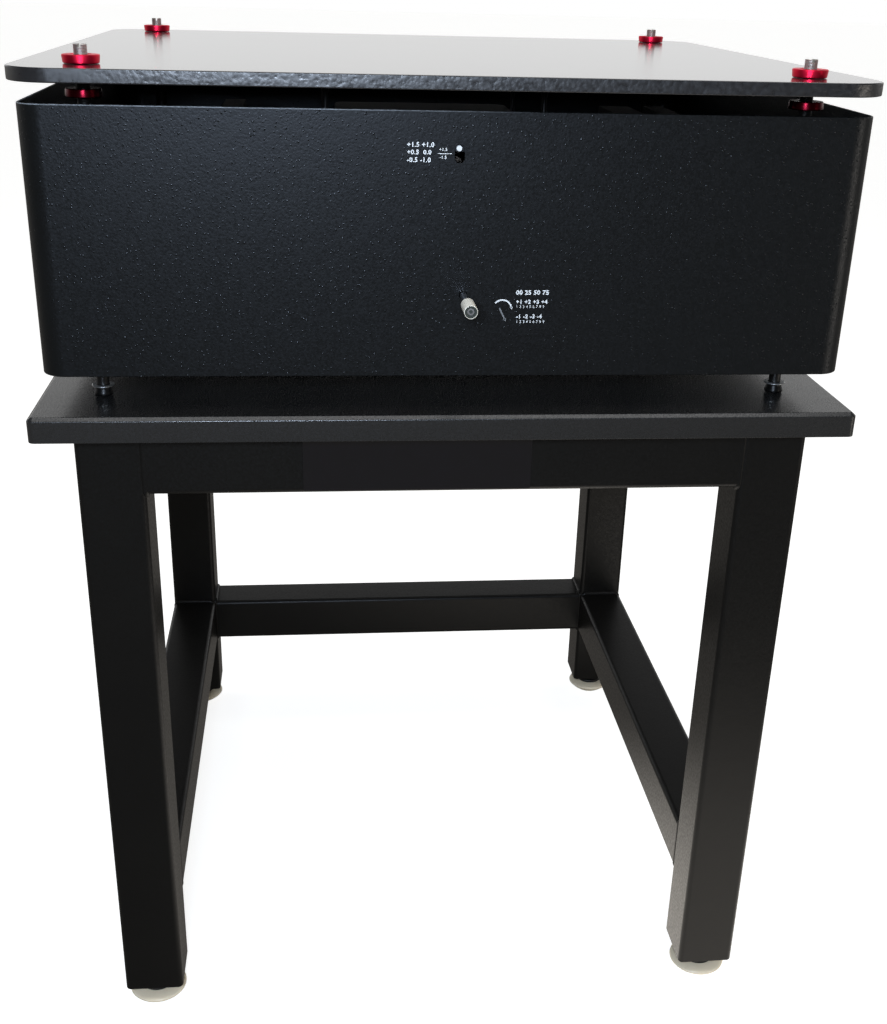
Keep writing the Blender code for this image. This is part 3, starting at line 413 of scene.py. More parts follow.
def makeCoat(name, look):
    sockets = {"Base Color": linear(look["colour"]), "Specular IOR Level": look["specular"]}
    if "tint" in look:
        sockets["Specular Tint"] = linear(look["tint"])
    material, tree, shader = startMaterial(name, sockets)
    spot = addNode(tree, "TexCoord").outputs["Object"]
    patches = addNode(tree, "TexNoise", {"Vector": spot, "Scale": coatSpread["patchScale"], "Detail": 3})
    peel = addNode(tree, "TexNoise", {"Vector": spot, "Scale": 1 / look["peel"], "Detail": 2})
    grain = addNode(tree, "TexNoise", {"Vector": spot, "Scale": 1 / look["grain"], "Detail": 1.5})
    colour = addNode(tree, "Mix", {
        0: patches, 6: linear(look["colour"]), 7: linear(look["patch"]),
    }, data_type="RGBA")
    roughness = addNode(tree, "MapRange", {
        "Value": grain, "From Min": noiseLow, "From Max": noiseHigh,
        "To Min": look["roughness"] - coatSpread["roughness"],
        "To Max": look["roughness"] + coatSpread["roughness"],
    })
    slowBump = addNode(tree, "Bump", {"Height": peel, "Distance": look["peelRelief"]})
    fineBump = addNode(tree, "Bump", {"Height": grain, "Distance": look["relief"], "Normal": slowBump})
    if "pimples" in look:
        drop = look["pimples"]
        cells = addNode(tree, "TexVoronoi", {"Vector": spot, "Scale": 1 / drop["spacing"]})
        chosen = addNode(tree, "SeparateColor", {0: cells.outputs["Color"]})
        kept = addNode(tree, "Math", {0: chosen, 1: drop["share"]}, operation="LESS_THAN")
        dome = addNode(tree, "MapRange", {
            "Value": cells, "From Min": 0, "From Max": drop["radius"] / drop["spacing"],
            "To Min": 1, "To Max": 0,
        }, interpolation_type="SMOOTHSTEP")
        raised = addNode(tree, "Math", {0: dome, 1: kept}, operation="MULTIPLY")
        roughness = addNode(tree, "Mix", {0: raised, 2: roughness, 3: drop["roughness"]})
        fineBump = addNode(tree, "Bump", {
            "Height": raised, "Distance": drop["height"], "Normal": fineBump,
        })
    if "levelTop" in look:
        # The coat flowed out smooth on the level top and at the left end, and kept its pebbles on the walls
        level, end = look["levelTop"], look["smoothEnd"]
        parts = addNode(tree, "SeparateXYZ", {0: spot}).outputs
        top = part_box("payload_plate")[1].z
        hold = addNode(tree, "MapRange", {
            "Value": parts["Z"], "From Min": top - level["from"], "From Max": top - level["to"],
            "To Min": 1, "To Max": level["relief"],
        })
        growing = addNode(tree, "MapRange", {
            "Value": parts["X"], "From Min": end["from"], "From Max": end["to"],
            "To Min": end["relief"], "To Max": 1,
        })
        strength = addNode(tree, "Math", {0: hold, 1: growing}, operation="MULTIPLY")
        for bump in (slowBump, fineBump):
            feed(tree, bump, {"Strength": strength})
        smoother = addNode(tree, "Math", {0: roughness, 1: hold}, operation="MULTIPLY")
        glossy = look["roughness"] * level["gloss"]
        roughness = addNode(tree, "Math", {0: smoother, 1: glossy}, operation="MAXIMUM")
    if "rim" in look:
        # The pale upper rim of the sheet is a painted highlight: strongest on the left half and fading to the
        # right, as the key lamp's highlight does
        rim = look["rim"]
        parts = addNode(tree, "SeparateXYZ", {0: spot}).outputs
        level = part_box("cover")[1].z - rim["depth"]
        rimBand = addNode(tree, "MapRange", {
            "Value": parts["Z"], "From Min": level, "From Max": level + rim["blend"],
        })
        highlightFade = addNode(tree, "MapRange", {
            "Value": parts["X"], "From Min": rim["fadeFrom"], "From Max": rim["fadeTo"],
            "To Min": 1, "To Max": 0,
        })
        rimHighlight = addNode(tree, "Math", {0: rimBand, 1: highlightFade}, operation="MULTIPLY")
        share = addNode(tree, "Math", {0: rimHighlight, 1: grain}, operation="MULTIPLY")
        colour = addNode(tree, "Mix", {
            0: share, 6: colour.outputs[2], 7: linear(rim["colour"]),
        }, data_type="RGBA")
    feed(tree, shader, {"Base Color": colour.outputs[2], "Roughness": roughness, "Normal": fineBump})
    return material


metals = {
    # Aluminium turned on a lathe, then dyed red by anodising: bright red gloss with fine rings
    "redAnodised": {
        "colour": "#e3203e", "roughness": 0.40, "marks": "rings", "spacing": 0.0005, "relief": 0.000008,
    },
    # The same red anodised aluminium, darkened as painted shade for the nuts in the plate's shadow below it:
    # nearly black with one red glint
    "redAnodisedPaintedShade": {
        "colour": "#3e0710", "roughness": 0.24, "marks": "rings", "spacing": 0.0005, "relief": 0.000008,
    },
    # Steel rod with a fine rolled thread: mid grey with a dull shine, and darkened below the plate as painted
    # shade
    "rolledSteel": {
        "colour": "#b0ada9", "roughness": 0.48, "marks": "rings", "spacing": 0.0006, "relief": 0.00001,
        "shadeBelow": "#2e2d2c", "shadeBlend": 0.003,
    },
    # Zinc plated washers of the isolator's feet: pale, with a soft shine all round
    "zincSteel": {
        "colour": "#c9cbcc", "roughness": 0.40, "marks": "rings", "spacing": 0.0007, "relief": 0.000006,
    },
    # Aluminium milled flat: grey with close cutter lines
    "milledAluminium": {
        "colour": "#b9bbbd", "roughness": 0.36, "marks": "lines", "spacing": 0.0012, "relief": 0.00001,
    },
    # Ground steel of gears, screws and rods
    "groundSteel": {
        "colour": "#a2a3a5", "roughness": 0.30, "marks": "lines", "spacing": 0.0006, "relief": 0.000006,
    },
    # Hardened spring steel: darker and bluish
    "springSteel": {
        "colour": "#696b71", "roughness": 0.34, "marks": "lines", "spacing": 0.0008, "relief": 0.000006,
    },
}
metalSpread = {"cloudScale": 180, "smoother": 0.05, "rougher": 0.07, "distortion": 1.5}
wavePeriod = math.pi / 10    # what a wave texture repeats at, at scale 1


def makeMetal(name, look):
    material, tree, shader = startMaterial(name, {"Base Color": linear(look["colour"]), "Metallic": 1.0})
    if look["marks"] == "rings":
        spot = addNode(tree, "Attribute", attribute_name="ownPlace").outputs["Vector"]
        settings = {"wave_type": "RINGS", "rings_direction": "Z"}
    else:
        spot = addNode(tree, "TexCoord").outputs["Object"]
        settings = {"wave_type": "BANDS", "bands_direction": "DIAGONAL"}
    marks = addNode(tree, "TexWave", {
        "Vector": spot, "Scale": wavePeriod / look["spacing"], "Distortion": metalSpread["distortion"],
        "Detail": 2,
    }, **settings)
    cloud = addNode(tree, "TexNoise", {"Vector": spot, "Scale": metalSpread["cloudScale"], "Detail": 3})
    roughness = addNode(tree, "MapRange", {
        "Value": cloud, "From Min": noiseLow, "From Max": noiseHigh,
        "To Min": look["roughness"] - metalSpread["smoother"],
        "To Max": look["roughness"] + metalSpread["rougher"],
    })
    bump = addNode(tree, "Bump", {"Height": marks.outputs["Fac"], "Distance": look["relief"]})
    # Below the plate's underside the stud is darkened: painted shade
    if "shadeBelow" in look:
        parts = addNode(tree, "SeparateXYZ", {0: addNode(tree, "TexCoord").outputs["Object"]})
        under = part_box("payload_plate")[0].z
        abovePlate = addNode(tree, "MapRange", {
            "Value": parts.outputs["Z"], "From Min": under - look["shadeBlend"], "From Max": under,
        })
        colour = addNode(tree, "Mix", {
            0: abovePlate, 6: linear(look["shadeBelow"]), 7: linear(look["colour"]),
        }, data_type="RGBA")
        feed(tree, shader, {"Base Color": colour.outputs[2]})
    feed(tree, shader, {"Roughness": roughness, "Normal": bump})
    return material


mouldings = {
    # Moulded nylon sleeve: warm white, soft gloss
    "creamNylon": {
        "colour": "#ece8dc", "patch": "#e0dbcc", "roughness": 0.38, "grain": 0.0010, "relief": 0.00001,
    },
    # Screen-printed white ink
    "whiteInk": {
        "colour": "#d9dcdc", "patch": "#c3c7c8", "roughness": 0.55, "grain": 0.0006, "relief": 0.00001,
    },
    # The same ink, thinner and greyer, of the second arrow
    "greyInk": {
        "colour": "#6f7274", "patch": "#5c5f61", "roughness": 0.55, "grain": 0.0006, "relief": 0.00001,
    },
    # Gloss black film of the bare label plate: mirror-like, slightly blue
    "glossFilm": {
        "colour": "#08080b", "patch": "#0b0a0f", "roughness": 0.10, "grain": 0.012, "relief": 0.00003,
    },
    # Glide of the stand's levelling foot: hard cream plastic
    "creamGlide": {
        "colour": "#f0e3c9", "patch": "#e2d3b6", "roughness": 0.33, "grain": 0.0016, "relief": 0.00002,
    },
}
mouldSpread = {"cloudScale": 90, "roughness": 0.04}


def makeMoulding(name, look):
    material, tree, shader = startMaterial(name, {"Base Color": linear(look["colour"])})
    spot = addNode(tree, "TexCoord").outputs["Object"]
    grain = addNode(tree, "TexNoise", {"Vector": spot, "Scale": 1 / look["grain"], "Detail": 2})
    cloud = addNode(tree, "TexNoise", {"Vector": spot, "Scale": mouldSpread["cloudScale"], "Detail": 3})
    colour = addNode(tree, "Mix", {
        0: cloud, 6: linear(look["colour"]), 7: linear(look["patch"]),
    }, data_type="RGBA")
    roughness = addNode(tree, "MapRange", {
        "Value": grain,
        "To Min": look["roughness"] - mouldSpread["roughness"],
        "To Max": look["roughness"] + mouldSpread["roughness"],
    })
    bump = addNode(tree, "Bump", {"Height": grain, "Distance": look["relief"]})
    feed(tree, shader, {"Base Color": colour.outputs[2], "Roughness": roughness, "Normal": bump})
    return material


finishes = {}
for make, looks in ((makeCoat, coats), (makeMetal, metals), (makeMoulding, mouldings)):
    finishes.update({name: make(name, look) for name, look in looks.items()})
print("finishes made:", len(finishes))


# Stand

standTop = {"cornerRadius": 0.005, "slopeRun": 0.0031, "slopeRise": 0.0026, "edgeRadius": 0.0005}
tube = {"cornerRadius": 0.0045, "wall": 0.003, "endPlate": 0.008, "stemHole": 0.0053, "endRadius": 0.0009}
weld = {"bead": 0.0030, "proud": 0.00035, "fillet": 0.0007, "into": 0.0008, "corner": 0.0042}
labelPlate = {
    "left": -0.1120, "right": 0.0635, "low": 0.5085, "high": 0.5560, "thickness": 0.0006,
    "sunk": 0.00002, "corner": 0.0012,
}


def makeStandTop():
    low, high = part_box("stand_top")
    shoulder = high.z - standTop["slopeRise"]
    board = addBlock("stand_top_board", low, (high.x, high.y, shoulder))
    roundEdges(board, along(2), standTop["cornerRadius"], segments=5)
    startEditing(board)
    selectFaces(lambda middle, normal: normal.z > 0.9)
    bpy.ops.mesh.inset(thickness=standTop["slopeRun"], depth=standTop["slopeRise"])
    stopEditing()
    roundEdges(board, onLevels(low.z, shoulder, high.z), standTop["edgeRadius"], segments=2)
    finishPiece(board, "blackLaminate", "base", ["stand_top"])


def hollow(piece, low, high, axis):
    # Takes the inside out of a tube and leaves its wall
    wall = tube["wall"]
    low, high = (Vector(corner) for corner in (low, high))
    for side in range(3):
        if side != axis:
            low[side] += wall
            high[side] -= wall
    cutter = addBlock("tube_inside", low, high)
    roundEdges(cutter, along(axis), tube["cornerRadius"] - wall, segments=3)
    cutWith(piece, cutter)


def makeLegs():
    low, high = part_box("leg_front_left")
    leg = addBlock("leg_front_left_tube", low, high)
    roundEdges(leg, along(2), tube["cornerRadius"], segments=6)
    roundEdges(leg, onLevels(low.z), tube["endRadius"], segments=2)
    hollow(leg, (low.x, low.y, low.z + tube["endPlate"]), (high.x, high.y, high.z + 0.01), 2)
    middle = middleOf("leg_front_left")
    drillHole(leg, tube["stemHole"], (low.z - 0.01, low.z + 0.02), 32, (middle.x, middle.y, 0))
    finishAtCorners(leg, "leg_{}_tube", "leg_{}", "standPaint", "base")


def makeWeld(name, centre, half, axis, direction, underBoard):
    # A bead round the end of a rail: a rounded square outline, given a round section
    inset = weld["bead"] - weld["proud"]
    low = -half - weld["fillet"]
    high = half - weld["bead"] - weld["proud"] if underBoard else half + weld["fillet"]
    deselectAll()
    bpy.ops.mesh.primitive_plane_add(size=1, location=(0, 0, 0))
    bead = bpy.context.object
    bead.name = bead.data.name = name
    bead.scale = (2 * (half - inset), high - low, 1)
    bead.location = (0, (high + low) / 2, 0)
    bpy.ops.object.transform_apply(location=True, rotation=True, scale=True)
    startEditing(bead)
    selectAll()
    bpy.ops.mesh.bevel(offset=weld["corner"], segments=5, affect="VERTICES")
    selectAll()
    bpy.ops.mesh.delete(type="ONLY_FACE")
    stopEditing()
    bpy.ops.object.convert(target="CURVE")
    bead.data.bevel_depth = weld["bead"]
    bead.data.bevel_resolution = 3
    bpy.ops.object.convert(target="MESH")
    spot = Vector(centre)
    spot[axis] -= direction * weld["into"]
    place(bead, spot, (quarter, 0, quarter) if axis == 0 else (quarter, 0, 0))
    finishPiece(bead, "standPaint", "base", angle=80)


def makeRails():
    for axis, tags, names in (
        (0, ("left", "right"), ("apron_front", "apron_rear", "stretcher_rear")),
        (1, ("front", "rear"), ("apron_left", "apron_right", "stretcher_left", "stretcher_right")),
    ):
        low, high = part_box(names[0])
        rail = addBlock(f"{names[0]}_tube", low, high)
        roundEdges(rail, along(axis), tube["cornerRadius"], segments=6)
        ends = Vector((0, 0, 0))
        ends[axis] = 0.01
        hollow(rail, low - ends, high + ends, axis)
        for name in names[1:] + names[:1]:
            start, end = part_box(name)
            piece = copyOf(rail, f"{name}_tube", start - low) if name != names[0] else rail
            half = (end.z - start.z) / 2
            for tag, side, direction in zip(tags, (start[axis], end[axis]), (1, -1)):
                centre = middleOf(name)
                centre[axis] = side
                makeWeld(f"weld_{name}_{tag}", centre, half, axis, direction, name.startswith("apron"))
            finishPiece(piece, "standPaint", "base", [name])


def makeLabelPlate():
    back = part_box("apron_front")[0].y + labelPlate["sunk"]
    plate = addBlock(
        "bare_label_plate",
        (labelPlate["left"], back - labelPlate["thickness"], labelPlate["low"]),
        (labelPlate["right"], back, labelPlate["high"]),
    )
    roundEdges(plate, along(1), labelPlate["corner"], segments=3)
    finishPiece(plate, "glossFilm", "base")


makeStandTop()
makeLegs()
makeRails()
makeLabelPlate()
print("stand made")

# Levelling feet of the stand, as (radius, height): a cream cup, and a dark swivel cap with its stem
glide = {
    "cup": [
        (0.0150, 0.0), (0.0163, 0.0004), (0.0188, 0.0022), (0.0222, 0.0050), (0.0246, 0.0072),
        (0.0254, 0.0082), (0.0255, 0.0092), (0.0250, 0.0101), (0.0240, 0.0107), (0.0220, 0.0114),
        (0.0190, 0.0121), (0.0150, 0.0126),
    ],
    "cap": [
        (0.0148, 0.0122), (0.0152, 0.0128), (0.0152, 0.0148), (0.0145, 0.0158), (0.0112, 0.0164),
        (0.0092, 0.0166), (0.0090, 0.0180), (0.0084, 0.0186), (0.0052, 0.0186), (0.0050, 0.0188),
        (0.0050, 0.0550),
    ],
    "sides": 72,
}


def makeStandFeet():
    middle = middleOf("stand_foot_front_left")
    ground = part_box("stand_foot_front_left")[0].z
    for part, finish, slot in (("cup", "creamGlide", "cream_glide"), ("cap", "blackOxide", "dark_steel")):
        name = "glide_" + part + "_{}"
        foot = addTurned(name.format(corners[0]), glide[part], glide["sides"])
        place(foot, (middle.x, middle.y, ground))
        finishAtCorners(foot, name, "stand_foot_{}", finish, "stand_foot_body_{}", part == "cup")


makeStandFeet()
print("levelling feet made")


# Isolator casing

coverShape = {
    "cornerRadius": 0.018, "wall": 0.0015, "rimRadius": 0.0007, "rimAngle": 60,
    "slotHeight": 0.1842, "slotSide": 0.0004, "slotSize": (0.0070, 0.0128),
    "shaftHole": 0.0031, "keyHole": 0.008,
}


def makeCover():
    low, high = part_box("cover")
    cover = addBlock("cover_shell", low, high)
    roundEdges(cover, along(2), coverShape["cornerRadius"], segments=12)
    startEditing(cover)
    selectFaces(lambda middle, normal: abs(normal.z) > 0.9)
    bpy.ops.mesh.delete(type="FACE")
    stopEditing()
    applyModifier(cover, "SOLIDIFY", thickness=coverShape["wall"], offset=-1)
    rims = {"width": coverShape["rimRadius"], "segments": 3, "limit_method": "ANGLE"}
    applyModifier(cover, "BEVEL", angle_limit=math.radians(coverShape["rimAngle"]), **rims)
    width, height = coverShape["slotSize"]
    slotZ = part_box("stand_top")[1].z + coverShape["slotHeight"]
    slotLeft = coverShape["slotSide"] - width / 2
    slot = addBlock(
        "slot",
        (slotLeft, low.y - 0.005, slotZ - height / 2),
        (slotLeft + width, low.y + 0.006, slotZ + height / 2),
    )
    roundEdges(slot, along(1), width / 2 - 0.00001, segments=8)
    cutWith(cover, slot)
    shaft, screw, span = middleOf("adjuster_shaft"), middleOf("stiffness_screw"), (-0.006, 0.006)
    drillHole(cover, coverShape["shaftHole"], span, 40, (shaft.x, low.y, shaft.z), (quarter, 0, 0))
    drillHole(cover, coverShape["keyHole"], span, 48, (high.x, screw.y, screw.z), (0, quarter, 0))
    finishPiece(cover, "coverCoat", "base", ["cover"])


plateShape = {"cornerRadius": 0.033, "edgeRadius": 0.0009, "holeRadius": 0.0087}


def makePayloadPlate():
    low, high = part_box("payload_plate")
    plate = addBlock("payload_plate_slab", low, high)
    roundEdges(plate, along(2), plateShape["cornerRadius"], segments=18)
    roundEdges(plate, onLevels(low.z, high.z), plateShape["edgeRadius"], segments=3)
    for corner in corners:
        middle, span = middleOf(f"stud_{corner}"), (low.z - 0.01, high.z + 0.01)
        drillHole(plate, plateShape["holeRadius"], span, 48, (middle.x, middle.y, 0))
    finishPiece(plate, "plateCoat", "payload", ["payload_plate"])


# Studs: a threaded length on a plain shank, with a driver slot across the top. The thread is drawn as rings,
# which look the same as a helix at this pitch
studShape = {
    "pitch": 0.0010, "radius": 0.00475, "shank": 0.00465, "turns": 44, "depth": 0.0004, "crest": (0.45, 0.6),
    "endChamfer": 0.0006, "sides": 48, "slotWidth": 0.0022, "slotDepth": 0.0022,
}


def makeStuds():
    low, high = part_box("stud_front_left")
    middle = middleOf("stud_front_left")
    pitch, radius, shank = studShape["pitch"], studShape["radius"], studShape["shank"]
    tip, root = radius - studShape["endChamfer"], radius - studShape["depth"]
    rise, fall = (share * pitch for share in studShape["crest"])
    start = high.z - studShape["turns"] * pitch
    profile = [(tip, low.z), (shank, low.z + 0.0005), (shank, start - 0.0004)]
    for turn in range(studShape["turns"]):
        foot = start + turn * pitch
        profile += [(root, foot), (radius, foot + rise), (radius, foot + fall)]
    stud = addTurned("stud_front_left_thread", profile + [(tip, high.z)], studShape["sides"])
    half, floor = studShape["slotWidth"] / 2, high.z - studShape["slotDepth"]
    cutWith(stud, addBlock("driver_slot", (-half, -0.01, floor), (half, 0.01, high.z + 0.01)))
    keepOwnPlace(stud)
    place(stud, (middle.x, middle.y, 0))
    finishAtCorners(stud, "stud_{}_thread", "stud_{}", "rolledSteel", "base")


# Nuts: wide flat discs, as (radius, height) from their lower face
nutShape = {
    "profile": [
        (0.00505, 0.0006), (0.0056, 0.0), (0.0117, 0.0), (0.0123, 0.0004), (0.01245, 0.0012),
        (0.01288, 0.0051), (0.01265, 0.0056), (0.0120, 0.0058), (0.0075, 0.0058), (0.0072, 0.0055),
        (0.0056, 0.0055), (0.00505, 0.0049),
    ],
    "sides": 96,
}


def makeNuts():
    # The lower nuts take the darker copy of the red: painted shade under the plate
    for level, flip, finish in (("upper", 0, "redAnodised"), ("lower", math.pi, "redAnodisedPaintedShade")):
        node = level + "_nut_{}"
        low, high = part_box(node.format(corners[0]))
        middle = (low + high) / 2
        nut = addTurned(f"{level}_nut_front_left_disc", nutShape["profile"], nutShape["sides"], ring=True)
        keepOwnPlace(nut)
        place(nut, (middle.x, middle.y, high.z if flip else low.z), (flip, 0, 0))
        finishAtCorners(nut, node + "_disc", node, finish, level + "_nut_body_{}")


# Feet of the isolator: a rubber pad that swells at its base, a bright washer on it, and the screw's dark shank
padShape = {
    "pad": [
        (0.0060, 0.0003), (0.0067, 0.0006), (0.0071, 0.0014), (0.0070, 0.0026), (0.0060, 0.0050),
        (0.0056, 0.0066), (0.0057, 0.0076),
    ],
    "washer": [
        (0.0078, 0.0076), (0.0083, 0.0078), (0.0083, 0.0083), (0.0079, 0.0086), (0.0056, 0.0086),
        (0.0053, 0.0084),
    ],
    "shank": [
        (0.0052, 0.0078), (0.0052, 0.0086), (0.0046, 0.0090), (0.0046, 0.0339), (0.0042, 0.0345),
    ],
    "sides": 64,
}


def makePads():
    node, body = "isolator_foot_{}", "isolator_foot_body_{}"
    middle = middleOf(node.format(corners[0]))
    for part, finish in (("pad", "footRubber"), ("washer", "zincSteel"), ("shank", "blackOxide")):
        pad = addTurned(f"{part}_front_left", padShape[part], padShape["sides"])
        keepOwnPlace(pad)
        place(pad, (middle.x, middle.y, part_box("stand_top")[1].z))
        finishAtCorners(pad, part + "_{}", node, finish, body, part == "shank")


makeCover()
makePayloadPlate()
makeStuds()
makeNuts()
makePads()
print("casing, plate, studs and nuts made")


# Load adjuster: the shaft's end with its sleeve, as (radius, distance from the sleeve's back face)
sleeveShape = {
    "sleeve": [
        (0.0029, 0.0004), (0.0033, 0.0), (0.0043, 0.0), (0.0048, 0.0005), (0.0048, 0.0164), (0.0047, 0.0166),
        (0.0047, 0.0172), (0.0048, 0.0174), (0.0048, 0.0215), (0.0046, 0.0219), (0.0044, 0.0220),
        (0.0043, 0.0218), (0.0043, 0.0165), (0.0029, 0.0165),
    ],
    # A dark lining inside the sleeve's end, painted shade for its recess
    "socket": [
        (0.0043, 0.0190), (0.0043, 0.0210), (0.0040, 0.0215), (0.0030, 0.0215), (0.0027, 0.0212),
        (0.0024, 0.0203), (0.0021, 0.0201),
    ],
    "sides": 64,
}


def makeSleeve():
    middle = middleOf("adjuster_sleeve")
    spot = (middle.x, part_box("adjuster_sleeve")[1].y, middle.z)
    sleeve = addTurned("adjuster_sleeve_turned", sleeveShape["sleeve"], sleeveShape["sides"], ring=True)
    place(sleeve, spot, (quarter, 0, 0))
    finishPiece(sleeve, "creamNylon", "adjuster", ["adjuster_sleeve"])
    # The dark lining stands in for shade in the sleeve's hollow end
    socket = addTurned("adjuster_recess_shade", sleeveShape["socket"], sleeveShape["sides"])
    place(socket, spot, (quarter, 0, 0))
    finishPiece(socket, "recessShadeLining", "adjuster")


# Marks printed on the front, plain numbers and arrows, as (x from the middle, height over the cover's edge)
marks = {
    "thickness": 0.00007,
    "sunk": 0.00001,
    # Numbers: text, left, baseline, letter height, thickening of the strokes
    "numbers": [
        ("+1.5 +1.0", -0.0362, 0.1631, 0.0030, 0.00014),
        ("+0.5  0.0", -0.0362, 0.1582, 0.0029, 0.00014),
        ("-0.5 -1.0", -0.0362, 0.1530, 0.0030, 0.00014),
        ("+1.5", -0.0140, 0.1605, 0.0020, 0.00008),
        ("-1.5", -0.0136, 0.1553, 0.0020, 0.00008),
        ("00 25 50 75", 0.0442, 0.0609, 0.0031, 0.00016),
        ("+1 +2 +3 +4", 0.0445, 0.0542, 0.0028, 0.00014),
        ("1 2 3 4 5 6 7 8 9", 0.0446, 0.0512, 0.0019, 0.00002),
        ("-1 -2 -3 -4", 0.0450, 0.0434, 0.0028, 0.00014),
        ("1 2 3 4 5 6 7 8 9", 0.0451, 0.0400, 0.0019, 0.00002),
    ],
    "letterShare": 0.70,      # letter height over the font's size
    "spread": 1.12,           # space between letters
    "bar": {"left": -0.0148, "right": -0.0051, "low": 0.1585, "height": 0.00045, "corner": 0.0001},
    "arc": {
        "centre": (0.0344, 0.0499), "radius": 0.0075, "width": 0.0011, "from": 12, "to": 137, "head": 0.0013,
    },
    "arrow": {
        "from": (0.0325, 0.0508), "to": (0.0368, 0.0424), "width": 0.0011, "head": 0.0015, "corner": 0.0002,
    },
}


def printText(entry, front, ground):
    text, left, baseline, letterHeight, thickening = entry
    deselectAll()
    bpy.ops.object.text_add(location=(0, 0, 0))
    label = bpy.context.object
    label.name = "number"
    label.data.body = text
    label.data.size = letterHeight / marks["letterShare"]
    label.data.space_character = marks["spread"]
    label.data.offset = thickening
    label.data.extrude = marks["thickness"] / 2
    label.data.resolution_u = 4
    bpy.ops.object.convert(target="MESH")
    label = bpy.context.object
    startEditing(label)
    selectAll()
    bpy.ops.mesh.remove_doubles(threshold=merged)
    stopEditing()
    place(label, (left, front, ground + baseline), (quarter, 0, 0))
    return label


def addTriangle(radius, spot, angle):
    deselectAll()
    bpy.ops.mesh.primitive_circle_add(
        vertices=3, radius=radius, fill_type="NGON", location=spot, rotation=(0, 0, angle),
    )
    bpy.ops.object.transform_apply(location=True, rotation=True, scale=True)
    return bpy.context.object


def makeArrow(front, ground):
    # A short bar with a triangle at its lower end, drawn along +X and then turned
    arrow = marks["arrow"]
    start, end = Vector(arrow["from"]), Vector(arrow["to"])
    length = (end - start).length
    thin = marks["thickness"] / 2
    bar = addBlock("arrow_bar", (0, -arrow["width"] / 2, -thin), (length, arrow["width"] / 2, thin))
    roundEdges(bar, along(2), arrow["corner"], segments=2)
    head = addTriangle(arrow["head"], (length, 0, 0), -quarter)
    applyModifier(head, "SOLIDIFY", thickness=marks["thickness"], offset=0)
    joined = joinPieces("printed_arrow", [bar, head])
    place(joined, (0, 0, 0), (0, 0, math.atan2(end.y - start.y, end.x - start.x)))
    place(joined, (start.x, front, ground + start.y), (quarter, 0, 0))
    return joined


def makeArc(front, ground):
    # Part of a circle, widened, with a triangle at its end, given a thickness
    arc = marks["arc"]
    deselectAll()
    bpy.ops.mesh.primitive_circle_add(vertices=96, radius=arc["radius"])
    band = bpy.context.object
    startEditing(band)

    def outside(middle, direction):
        angle = math.degrees(math.atan2(middle.y, middle.x))
        return not arc["from"] <= angle <= arc["to"]

    selectEdges(outside)
    bpy.ops.mesh.delete(type="EDGE")
    selectAll()
    bpy.ops.mesh.extrude_edges_move(TRANSFORM_OT_translate={"value": (0, 0, 0)})
    share = 1 - arc["width"] / arc["radius"]
    bpy.ops.transform.resize(value=(share, share, 1), center_override=(0, 0, 0))
    stopEditing()
    tip = math.radians(arc["from"])
    reach = arc["radius"] - arc["width"] / 2
    head = addTriangle(arc["head"], (reach * math.cos(tip), reach * math.sin(tip), 0), tip + math.pi)
    band = joinPieces("arc", [band, head])
    applyModifier(band, "SOLIDIFY", thickness=marks["thickness"], offset=0)
    x, z = arc["centre"]
    place(band, (x, front, ground + z), (quarter, 0, 0))
    return band


def makeMarks():
    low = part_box("cover")[0]
    front = low.y - marks["thickness"] / 2
    line = marks["bar"]
    z = low.z + line["low"]
    bar = addBlock(
        "bar",
        (line["left"], low.y - marks["thickness"], z),
        (line["right"], low.y + marks["sunk"], z + line["height"]),
    )
    roundEdges(bar, along(1), line["corner"], segments=2)
    texts = [printText(entry, front, low.z) for entry in marks["numbers"]]
    printed = joinPieces("printed_marks", [bar, *texts, makeArc(front, low.z)])
    finishPiece(printed, "whiteInk", "base")
    finishPiece(makeArrow(front, low.z), "greyInk", "base")


def makeDot():
    low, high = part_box("indicator_dot")
    middle = middleOf("indicator_dot")
    radius = (high.x - low.x) / 2
    depth = high.y - low.y
    profile = [(radius, 0), (radius, depth * 0.75), (radius * 0.9, depth * 0.95), (radius * 0.6, depth)]
    dot = addTurned("indicator_dot_cap", profile, sides=40)
    place(dot, (middle.x, high.y, middle.z), (quarter, 0, 0))
    finishPiece(dot, "whiteInk", "hub_carriage", ["indicator_dot"])


makeSleeve()
makeMarks()
makeDot()
print("adjuster and marks made")


# Mechanism: the springy pieces, made in parts that lie between the bodies they join

beamColumn = {"radius": 0.0030, "waist": 0.0021, "end": 0.012, "taper": 0.003, "rings": 8, "sides": 28}
leaf = {"seat": 0.013, "taper": 0.012, "width": 0.060, "waist": 0.040, "steps": 10}
coil = {
    "wire": 0.00275, "radius": 0.025, "endPitch": 0.0062, "lowerTurns": 2.5, "upperTurns": 1.5,
    "steps": 40, "sides": 14, "merged": 0.000005,
}


def sharesOf(first, last, count):
    return [first + (last - first) * step / count for step in range(1, count + 1)]


def makeColumns():
    # Each beam column is two halves: the carriage moves its foot along X, and the plate its head along Y
    radius, waist, end = beamColumn["radius"], beamColumn["waist"], beamColumn["end"]
    for corner in corners:
        low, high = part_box(f"column_{corner}")
        middle, length = (low + high) / 2, high.z - low.z
        foot = end + beamColumn["taper"]
        profile = [(radius, 0), (radius, end), (waist, foot)]
        profile += [(waist, height) for height in sharesOf(foot, length / 2, beamColumn["rings"])]
        head = [(wide, length - height) for wide, height in reversed(profile)]
        footBend, headBend = (*middle.xy, low.z + end), (*middle.xy, high.z - end)
        halves = (
            ("foot", profile, ("hub_carriage", "column_stage", footBend, middle), [f"column_{corner}"]),
            ("head", head, ("column_stage", "payload", middle, headBend), ()),
        )
        for part, outline, bodies, replaced in halves:
            half = addTurned(f"column_{part}_{corner}", outline, beamColumn["sides"])
            place(half, (middle.x, middle.y, low.z))
            finishPiece(half, "blackOxide", bodies, replaced)


